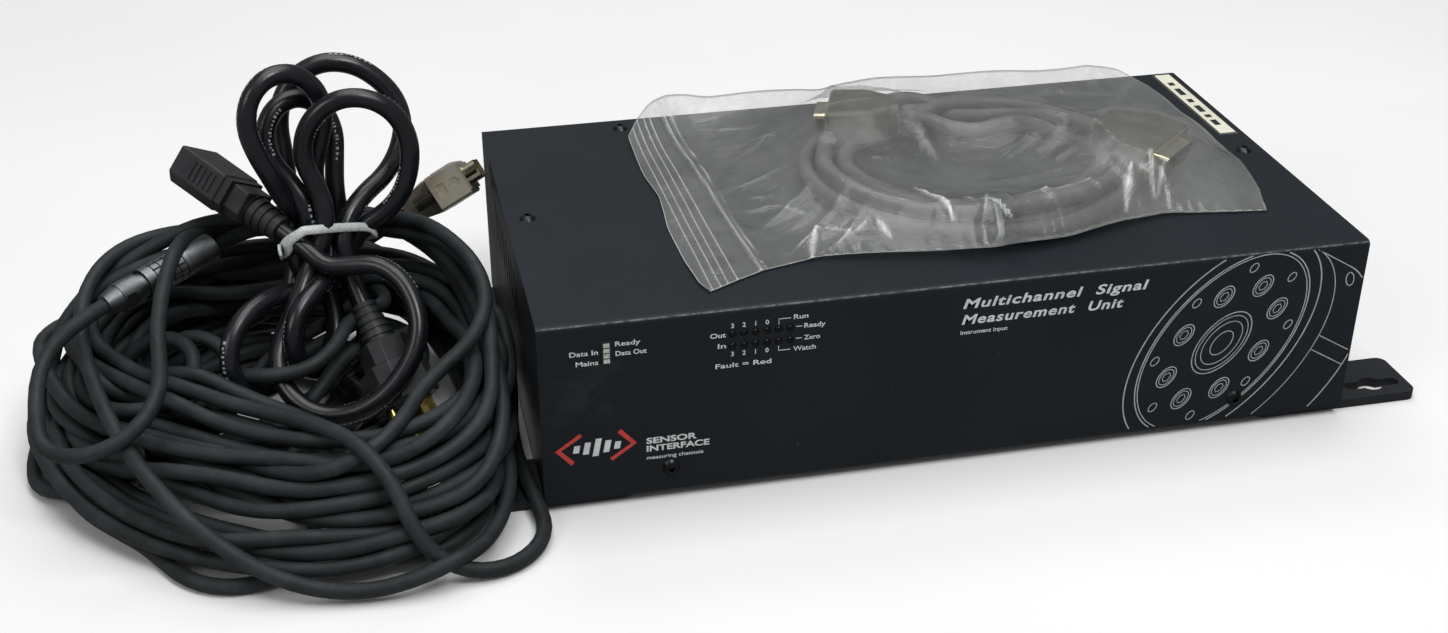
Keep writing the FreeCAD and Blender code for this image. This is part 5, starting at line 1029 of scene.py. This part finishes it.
NSX = 60 + 190
NTY = 130
sx = np.r_[np.linspace(0, 26, 61)[:-1], np.linspace(26, 248, 191)] / 248.0
ty = np.linspace(0, 1, NTY + 1)
bottom = [(67.2, 13.4), (80, 20.5), (92, 26.5), (114, 31.5), (150, 25.5), (181, 18.2), (214, 23.5), (240, 33.0), (262, 38.5), (286, 35.0), (303.5, 33.0)]
top = [(61.5, 157.0), (67, 168.0), (73.6, 178.0), (84, 187.0), (93, 187.5), (102, 182.8), (120, 182.5), (146.7, 182.5), (154, 180.5),
       (164, 184.5), (182.8, 186.5), (222.5, 184.5), (258, 180.5), (284, 181.5), (299, 180.0), (311.5, 166.0)]
left = [(67.2, 13.4), (64.5, 20.0), (62.8, 40), (62.1, 70), (63.2, 84), (64.0, 98), (61.8, 119), (61.6, 144), (61.5, 157.0)]
right = [(303.5, 33.0), (309.5, 52), (314.2, 79), (313.0, 100), (314.3, 126), (313.4, 150), (311.5, 166.0)]


def smooth1(a, n=3):
    a = a.copy()
    for _ in range(n):
        a[1:-1] = 0.25 * a[:-2] + 0.5 * a[1:-1] + 0.25 * a[2:]
    return a


Bo, To = smooth1(interp_line(bottom, sx), 5), smooth1(interp_line(top, sx), 5)
Le, Ri = smooth1(interp_line(left, ty), 4), smooth1(interp_line(right, ty), 4)
S_, T_ = np.meshgrid(sx, ty)
XY = ((1 - T_)[..., None] * Bo[None] + T_[..., None] * To[None] + (1 - S_)[..., None] * Le[:, None] + S_[..., None] * Ri[:, None]
      - ((1 - S_) * (1 - T_))[..., None] * Bo[0] - (S_ * (1 - T_))[..., None] * Bo[-1]
      - ((1 - S_) * T_)[..., None] * To[0] - (S_ * T_)[..., None] * To[-1])
X_, Y_ = XY[..., 0], XY[..., 1]
OFFN = np.array(OFF[:])
obst = np.full(X_.shape, BZ + 0.25)


def splat(pts, rad):
    """Raises the obstacle height to balls of radius rad at pts."""
    global obst
    for p in pts:
        d2 = (X_ - p[0]) ** 2 + (Y_ - p[1]) ** 2
        m = d2 < rad * rad
        if m.any():
            obst[m] = np.maximum(obst[m], p[2] + np.sqrt(rad * rad - d2[m]))


dp = DATA_PTS - OFFN
splat(dp[::2], 3.5 + 0.75)


def samples(node, k=5):
    me_ = NODES[node].data
    co = np.array([v.co[:] for v in me_.vertices]) * 1000 - OFFN
    me_.calc_loop_triangles()
    out = [co]
    for tr in me_.loop_triangles:
        a, b_, c = co[list(tr.vertices)]
        ar = np.linalg.norm(np.cross(b_ - a, c - a)) / 2
        n = int(min(60, ar / 1.5))
        if n:
            rr = np.random.RandomState(tr.index).rand(n, 2)
            fl = rr.sum(1) > 1
            rr[fl] = 1 - rr[fl]
            out.append(a + rr[:, :1] * (b_ - a) + rr[:, 1:] * (c - a))
    return np.vstack(out)


splat(tw_b, 1.3)
splat(tips, 1.5)
for nd in ("bag_plug_a", "bag_shell_a", "bag_plug_b", "bag_shell_b"):
    splat(samples(nd), 1.7)


def shifted(a, fn):
    """fn over each grid point and its eight neighbours."""
    q = np.pad(a, 1, mode="edge")
    return fn(np.stack([q[i:i + a.shape[0], j:j + a.shape[1]] for i in range(3) for j in range(3)]), axis=0)


# the film bridges the small steps of the connector hoods
hull_ = shifted(shifted(obst, np.max), np.max)
for _ in range(4):
    hull_ = shifted(hull_, np.mean)
obst = np.where(hull_ > BZ + 9.0, np.maximum(obst, hull_), obst)

Z_ = np.maximum(obst, BZ + 1.2)
edge_lift = np.zeros(X_.shape)
# the lower and upper edges ride a little above the cover where the coil fills the bag
lift_b = 3.6 * np.exp(-((Bo[:, 0] - 190) / 62.0) ** 2) + 0.5 + 0.5 * np.sin(Bo[:, 0] / 9.0) * np.exp(-((Bo[:, 0] - 180) / 80) ** 2)
lift_t = (np.interp(To[:, 0], [61.5, 68, 77, 110, 150, 222, 285, 300, 311.5], [3.6, 6.4, 9.2, 8.8, 8.6, 9.0, 8.6, 6.0, 1.5])
          + 0.5 * np.sin(To[:, 0] / 9.0) * np.clip((To[:, 0] - 70) / 20, 0, 1) * np.clip((308 - To[:, 0]) / 20, 0, 1))
lift_l = 0.6 + 0.9 * (0.5 + 0.5 * np.sin(Le[:, 1] / 13.0)) + 2.6 * np.exp(-((Le[:, 1] - 160) / 22) ** 2)
lift_r = 0.7 + 1.6 * np.exp(-((Ri[:, 1] - 92) / 30) ** 2) + 0.5 * np.sin(Ri[:, 1] / 8.0)
Zb = np.zeros(X_.shape)
Zb[0, :], Zb[-1, :] = lift_b, lift_t
Zb[:, 0], Zb[:, -1] = lift_l, lift_r
Zb = np.maximum(Zb, 0.35)
ring = np.zeros(X_.shape, bool)
ring[0, :] = ring[-1, :] = ring[:, 0] = ring[:, -1] = True
Z_[ring] = BZ + Zb[ring]
rs = np.random.RandomState(4)
# grid spacing for an even film
dxs = np.gradient(S_[0] * 248)
for it in range(900):
    up_ = np.roll(Z_, -1, 0)
    dn = np.roll(Z_, 1, 0)
    lf_ = np.roll(Z_, 1, 1)
    rt = np.roll(Z_, -1, 1)
    av = 0.25 * (up_ + dn + lf_ + rt)
    sag = 0.0035
    Zn = np.maximum(av - sag, obst)
    Z_ = np.where(ring, Z_, Zn)
flatz = Z_.copy()
# folds: line segments with a rounded ridge
folds = [((170, 160), (183, 86), 1.0, 3.4), ((173, 134), (214, 96), 1.0, 2.2), ((104, 40), (140, 70), 1.2, 2.2), ((96, 60), (128, 84), 1.0, 2.4),
         ((99, 140), (133, 128), 1.3, 2.6), ((100, 160), (128, 146), 1.2, 2.4), ((214, 30), (208, 47), 1.6, 2.0), ((176, 22), (186, 46), 1.9, 1.8),
         ((196, 24), (190, 44), 1.4, 1.8), ((236, 36), (228, 52), 1.4, 1.9), ((160, 26), (168, 44), 1.2, 1.7), ((120, 34), (138, 52), 1.5, 2.0),
         ((252, 42), (244, 58), 1.5, 1.9), ((268, 40), (262, 56), 1.3, 1.9), ((262, 150), (244, 134), 1.4, 2.6), ((290, 150), (262, 130), 1.2, 2.6),
         ((300, 120), (270, 108), 1.1, 2.4), ((150, 92), (186, 104), 0.9, 2.6), ((206, 84), (240, 100), 0.9, 2.4), ((188, 70), (226, 66), 0.8, 2.0),
         ((92, 100), (122, 104), 1.0, 2.4), ((93, 80), (118, 72), 0.9, 2.0), ((140, 160), (152, 140), 1.1, 2.4), ((214, 158), (206, 140), 1.2, 2.6),
         ((236, 160), (226, 142), 1.0, 2.4)]
for _ in range(70):
    a0 = rs.uniform(0, 2 * math.pi)
    r0 = rs.uniform(0.3, 1.25)
    c0 = np.array((196 + 74 * r0 * math.cos(a0), 91 + 66 * r0 * math.sin(a0)))
    dr = a0 + rs.normal(0, 0.6)
    L_ = rs.uniform(6, 22)
    folds.append((tuple(c0), tuple(c0 + L_ * np.array((math.cos(dr), math.sin(dr)))), rs.uniform(0.25, 0.8), rs.uniform(0.9, 1.9)))
ridge = np.zeros(X_.shape)
for (x0, y0), (x1, y1), amp, wd in folds:
    dx, dy = x1 - x0, y1 - y0
    L2 = dx * dx + dy * dy
    t = np.clip(((X_ - x0) * dx + (Y_ - y0) * dy) / L2, 0, 1)
    bend = 1.6 * np.sin(t * math.pi) * rs.uniform(-1, 1)
    dd = ((X_ - x0) * (-dy) + (Y_ - y0) * dx) / math.sqrt(L2) - bend
    along = np.hypot(X_ - (x0 + dx * t), Y_ - (y0 + dy * t))
    inside = np.exp(-np.maximum(0, along - np.abs(dd)) ** 2 / 8)
    pr_ = np.exp(-np.abs(dd) / wd) * amp * np.sin(np.clip(t, 0.04, 0.96) * math.pi) ** 0.6 * inside
    far = np.abs(dd) < wd * 6
    ridge += np.where(far, pr_, 0)
# creases where the film is pinched over the coil, with painted highlights along their crests
GLINTS = [([(104.7, 37.1), (110.8, 44.0), (117, 49)], 0.8, 0.5), ([(118.5, 52), (114, 40), (111.0, 30)], 1.7, 0.9),
          ([(119.3, 50.8), (126.2, 46.7), (131.0, 40)], 0.8, 0.4), ([(131, 41), (138.2, 45.7)], 0.8, 0.5),
          ([(140.6, 44.6), (143.5, 33.5)], 1.5, 0.8), ([(162.0, 62.0), (166.2, 49.9), (168.4, 31.4)], 2.0, 1.0),
          ([(178.3, 48.5), (178.4, 38.7)], 1.2, 0.7), ([(196, 39.9), (214, 40.8), (234.5, 47.1)], 0.8, 0.45),
          ([(243, 36.7), (251.9, 54.6)], 1.7, 0.7), ([(261, 59.3), (257.8, 43)], 1.2, 0.7), ([(259, 43.0), (266.0, 54.4)], 1.1, 0.5),
          ([(172.2, 176), (170.3, 153.9), (172.8, 124.0), (180.6, 90.2)], 3.2, 0.30),
          ([(136.7, 122.6), (149.1, 126.9), (163.9, 126.0)], 0.8, 0.5), ([(109.4, 72.9), (118.5, 60.8)], 0.9, 0.4),
          ([(84, 168), (88, 182)], 3.0, 0.3), ([(230, 150), (262, 164), (290, 160)], 2.6, 0.2)]
glint = np.zeros(X_.shape)
for pts_, wd, st in GLINTS:
    n_ = len(pts_) - 1
    for q in range(n_):
        (x0, y0), (x1, y1) = pts_[q], pts_[q + 1]
        dx, dy = x1 - x0, y1 - y0
        t = np.clip(((X_ - x0) * dx + (Y_ - y0) * dy) / (dx * dx + dy * dy), 0, 1)
        dd = np.hypot(X_ - (x0 + dx * t), Y_ - (y0 + dy * t))
        tt = (q + t) / n_
        glint = np.maximum(glint, st * np.exp(-(dd / (wd * (0.25 + 0.75 * np.sin(np.clip(tt, 0.03, 0.97) * math.pi)))) ** 2))
broken = 0.5 + 0.5 * np.sin(X_ * 1.9 + 3 * np.sin(Y_ * 0.8)) * np.sin(Y_ * 1.5 + 2 * np.sin(X_ * 0.6))
ridge = ridge + 0.8 * glint
edge_d = np.minimum(np.minimum(T_, 1 - T_) * 155, np.minimum(S_, 1 - S_) * 248)
Z_ = Z_ + ridge * np.clip(edge_d / 5.0, 0, 1)
# puckers along the lower edge
Z_ += 0.5 * np.sin(X_ * 1.15 + 2 * np.sin(X_ * 0.21)) * np.exp(-T_ * 155 / 6.0) * np.clip(T_ * 155 / 1.5, 0, 1) * np.clip((X_ - 96) / 20, 0, 1)
# zip: four fine ribs and one broad closure
ZIPS = ((67.4, 88, -0.036, -0.014, 0.35, 0.32), (70.7, 88, -0.038, -0.018, 0.35, 0.32), (74.2, 88, -0.039, -0.015, 0.35, 0.32),
        (77.7, 90, -0.048, -0.025, 0.4, 0.36), (86.3, 102, -0.078, -0.049, 0.75, 0.75), (88.9, 104, -0.067, -0.041, 0.5, 0.4))
zipm = np.zeros(X_.shape)
for zx, y0, s1, s0, hh, ww in ZIPS:
    rel_ = Y_ - y0
    zc = zx + np.where(rel_ > 0, s1, s0) * rel_ + 0.25 * np.sin(Y_ / 17.0)
    g = np.exp(-((X_ - zc) / ww) ** 2)
    zipm = np.maximum(zipm, g)
    Z_ += hh * g * np.clip(edge_d / 1.0, 0, 1)
Z_ = np.where(ring, Z_, np.maximum(Z_, obst + 0.02))
Z_ = np.minimum(Z_, BZ + 27.5)
# lower film
E_ = np.exp(-edge_d / 7.0)
Zl = BZ + 0.12 + (Zb * 0)
near_b = lift_b[None, :] * np.exp(-T_ * 155 / 9) + lift_t[None, :] * np.exp(-(1 - T_) * 155 / 9)
near_l = lift_l[:, None] * np.exp(-S_ * 248 / 9) + lift_r[:, None] * np.exp(-(1 - S_) * 248 / 9)
Zl = Zl + np.maximum(near_b, near_l)
Zl = np.minimum(Zl, Z_ - 0.15)
# the lower film stays under what lies in the bag
low = np.full(X_.shape, 1e9)
for p in dp[::3]:
    d2 = (X_ - p[0]) ** 2 + (Y_ - p[1]) ** 2
    m = d2 < 16
    low[m] = np.minimum(low[m], p[2] - np.sqrt(16 - d2[m]))
Zl = np.minimum(Zl, np.maximum(low - 0.05, BZ + 0.1))
Zl[ring] = Z_[ring]

ny, nx = X_.shape
verts = [P(X_[j, i], Y_[j, i], Z_[j, i]) for j in range(ny) for i in range(nx)]
idx = -np.ones((ny, nx), int)
k = ny * nx
for j in range(ny):
    for i in range(nx):
        if ring[j, i]:
            idx[j, i] = j * nx + i
        else:
            idx[j, i] = k
            k += 1
            verts.append(P(X_[j, i], Y_[j, i], Zl[j, i]))
faces = []
for j in range(ny - 1):
    for i in range(nx - 1):
        a = j * nx + i
        faces.append((a, a + 1, a + nx + 1, a + nx))
for j in range(ny - 1):
    for i in range(nx - 1):
        faces.append((idx[j, i], idx[j + 1, i], idx[j + 1, i + 1], idx[j, i + 1]))
bag = mesh_obj("clear_bag", verts, faces, "bag_film", smooth=True)
touch = np.clip((Z_ - obst) / 2.2, 0, 1)
# milky film, paler where it stands off what lies beneath; painted highlights on the crests of the higher fold ridges
veil_and_glint = 0.20 + 0.06 * touch + 0.30 * np.clip(ridge - 0.95, 0, 0.8)
# paler over the front of the coil as painted light; painted highlights along the glint creases, broken into pieces
veil_and_glint = veil_and_glint + 0.10 * np.exp(-((Y_ - 45) / 28.0) ** 2) * np.clip((X_ - 105) / 20, 0, 1) + 0.55 * glint * (0.45 + 0.55 * broken)
veil_and_glint = np.maximum(veil_and_glint, 0.20 + 0.38 * zipm)
veil_and_glint = np.maximum(veil_and_glint, 0.75 * np.exp(-(edge_d / 0.7) ** 2))
veil_and_glint[:, :60] += 0.05
vb = np.where(zipm > 0.3, 0.22, 0.12)
col = np.concatenate([veil_and_glint.ravel(), np.array([vb[j, i] for j in range(ny) for i in range(nx) if not ring[j, i]])])
attr = bag.data.attributes.new("veil_and_glint", "FLOAT", "POINT")
attr.data.foreach_set("value", col.astype(np.float32))
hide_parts("bag")


# ------------------------------------------------------------------ CAD nodes: materials
SLOT_MAT = {
    "cover_paint": "cover_paint", "chassis_paint": "chassis_paint", "zinc_steel": "zinc_steel", "black_screw": "black_screw",
    "foot_paint": "foot_paint", "led_lens": "led_lens", "black_plastic": "black_plastic", "light_bar": "light_bar",
    "circuit_board": "circuit_board", "transformer": "transformer", "heatsink": "heatsink", "nickel": "nickel",
    "fuse_glass": "fuse_glass", "rocker_plastic": "rocker_plastic", "sticker": "sticker_paper", "lead_coil": "lead_jacket",
    "lead_jacket": "lead_jacket", "hood_metal": "hood_metal", "dark_metal": "dark_metal", "round_metal": "round_metal",
    "mains_coil": "mains_jacket", "mains_jacket": "mains_jacket", "mains_moulding": "mains_moulding", "brass": "brass",
    "tie_strap": "tie_strap", "bag_film": "tie_strap", "data_coil": "data_jacket"}
generic("rocker_plastic", srgb("#1b1c1e"), rough=(0.18, 0.3), big=80, fine=1800, bump=0.1)


def grooved(name, node, point, axis):
    """The plated sleeve, with painted shade lying in the grooves cut below its outer radius, where it is also rougher
    and less metallic.
    """
    t = NT(name)
    inv = node.matrix_world.inverted()
    p0 = inv @ Vector(point)
    ax = (inv.to_3x3() @ Vector(axis)).normalized()
    sub = t.n("ShaderNodeVectorMath", operation="SUBTRACT")
    t.link(t.tc.outputs["Object"], sub.inputs[0])
    sub.inputs[1].default_value = p0
    cr = t.n("ShaderNodeVectorMath", operation="CROSS_PRODUCT")
    t.link(sub.outputs[0], cr.inputs[0])
    cr.inputs[1].default_value = ax
    ln = t.n("ShaderNodeVectorMath", operation="LENGTH")
    t.link(cr.outputs[0], ln.inputs[0])
    groove_shade_mask = t.rng(ln.outputs["Value"], 1.0, 0.0, 0.00608, 0.00624)
    n1 = t.noise(85, 6, 0.62, 0.8)
    col = t.mix(t.rng(n1, 0.0, 1.0, 0.36, 0.66), srgb("#6a6d70"), srgb("#85888a"))
    col = t.mix(t.rng(t.noise(300, 5, 0.7, w=(3, 1, 6)), 0.0, 0.6, 0.6, 0.74), col, srgb("#3d3f41"))
    # painted shade: near black inside the grooves
    col = t.mix(groove_shade_mask, col, srgb("#121315"))
    r = t.math("ADD", t.rng(t.noise(160, 5, 0.6, w=(9, 1, 2)), 0.34, 0.46), t.math("MULTIPLY", groove_shade_mask, 0.3))
    me_ = t.math("SUBTRACT", 1.0, t.math("MULTIPLY", groove_shade_mask, 0.85))
    MATS[name] = t.set(color=col, rough=r, metal=me_, normal=t.bump(t.noise(900, 3, 0.6), 0.25, 0.0001), spec=0.5)


SLEEVE_P = P(-117.0, 110.0, 68.0)
grooved("round_grooved", NODES["round_sleeve"], SLEEVE_P, (-0.770, -0.626, -0.092))
NODE_MAT = {"round_sleeve": "round_grooved", "bag_plug_a": "zinc_hood", "bag_plug_b": "zinc_hood"}
for sp in frame["record"]["subparts"]:
    o = NODES[sp["node"]]
    m = MATS[NODE_MAT.get(sp["node"], SLOT_MAT[sp["material_slot"]])]
    if len(o.material_slots) == 0:
        o.data.materials.append(m)
    for s in o.material_slots:
        s.material = m

# ------------------------------------------------------------------ floor and light
me = bpy.data.meshes.new("floor")
R = 4.0
vs = [(0, 0, 0)]
fs = []
for i in range(64):
    a = 2 * math.pi * i / 64
    vs.append((R * math.cos(a), R * math.sin(a), 0.0))
for i in range(64):
    fs.append((0, 1 + i, 1 + (i + 1) % 64))
me.from_pydata(vs, [], fs)
floor = bpy.data.objects.new("floor", me)
floor.location = (0, 0, -0.0002)
SC.collection.objects.link(floor)
me.materials.append(MATS["floor_white"])
floor.visible_glossy = False


def area(name, loc, target, size, power, color=(1, 1, 1), size_y=None):
    d = bpy.data.lights.new(name, "AREA")
    d.shape = "RECTANGLE"
    d.size = size
    d.size_y = size_y or size
    d.energy = power
    d.color = color
    o = bpy.data.objects.new(name, d)
    o.location = loc
    o.rotation_euler = (Vector(target) - Vector(loc)).to_track_quat("-Z", "Y").to_euler()
    SC.collection.objects.link(o)
    return o


area("light_top", (0.0, 0.0, 1.9), (0, 0, 0), 1.5, 22.0, (1.0, 1.0, 1.0))
area("light_back", (-0.2, 1.3, 1.7), (0, 0, 0.05), 0.9, 5, (0.98, 0.99, 1.0), 0.5)
area("light_left", (-1.5, -0.9, 1.3), (-0.1, 0, 0.05), 0.8, 6, (1.0, 0.99, 0.97))
area("light_front", (0.42, -1.15, 1.95), (0, 0, 0.05), 0.7, 15.5, (1.0, 1.0, 1.0))
w = bpy.data.worlds.new("world")
w.use_nodes = True
w.node_tree.nodes["Background"].inputs["Color"].default_value = (1, 1, 1, 1)
w.node_tree.nodes["Background"].inputs["Strength"].default_value = 0.22
SC.world = w
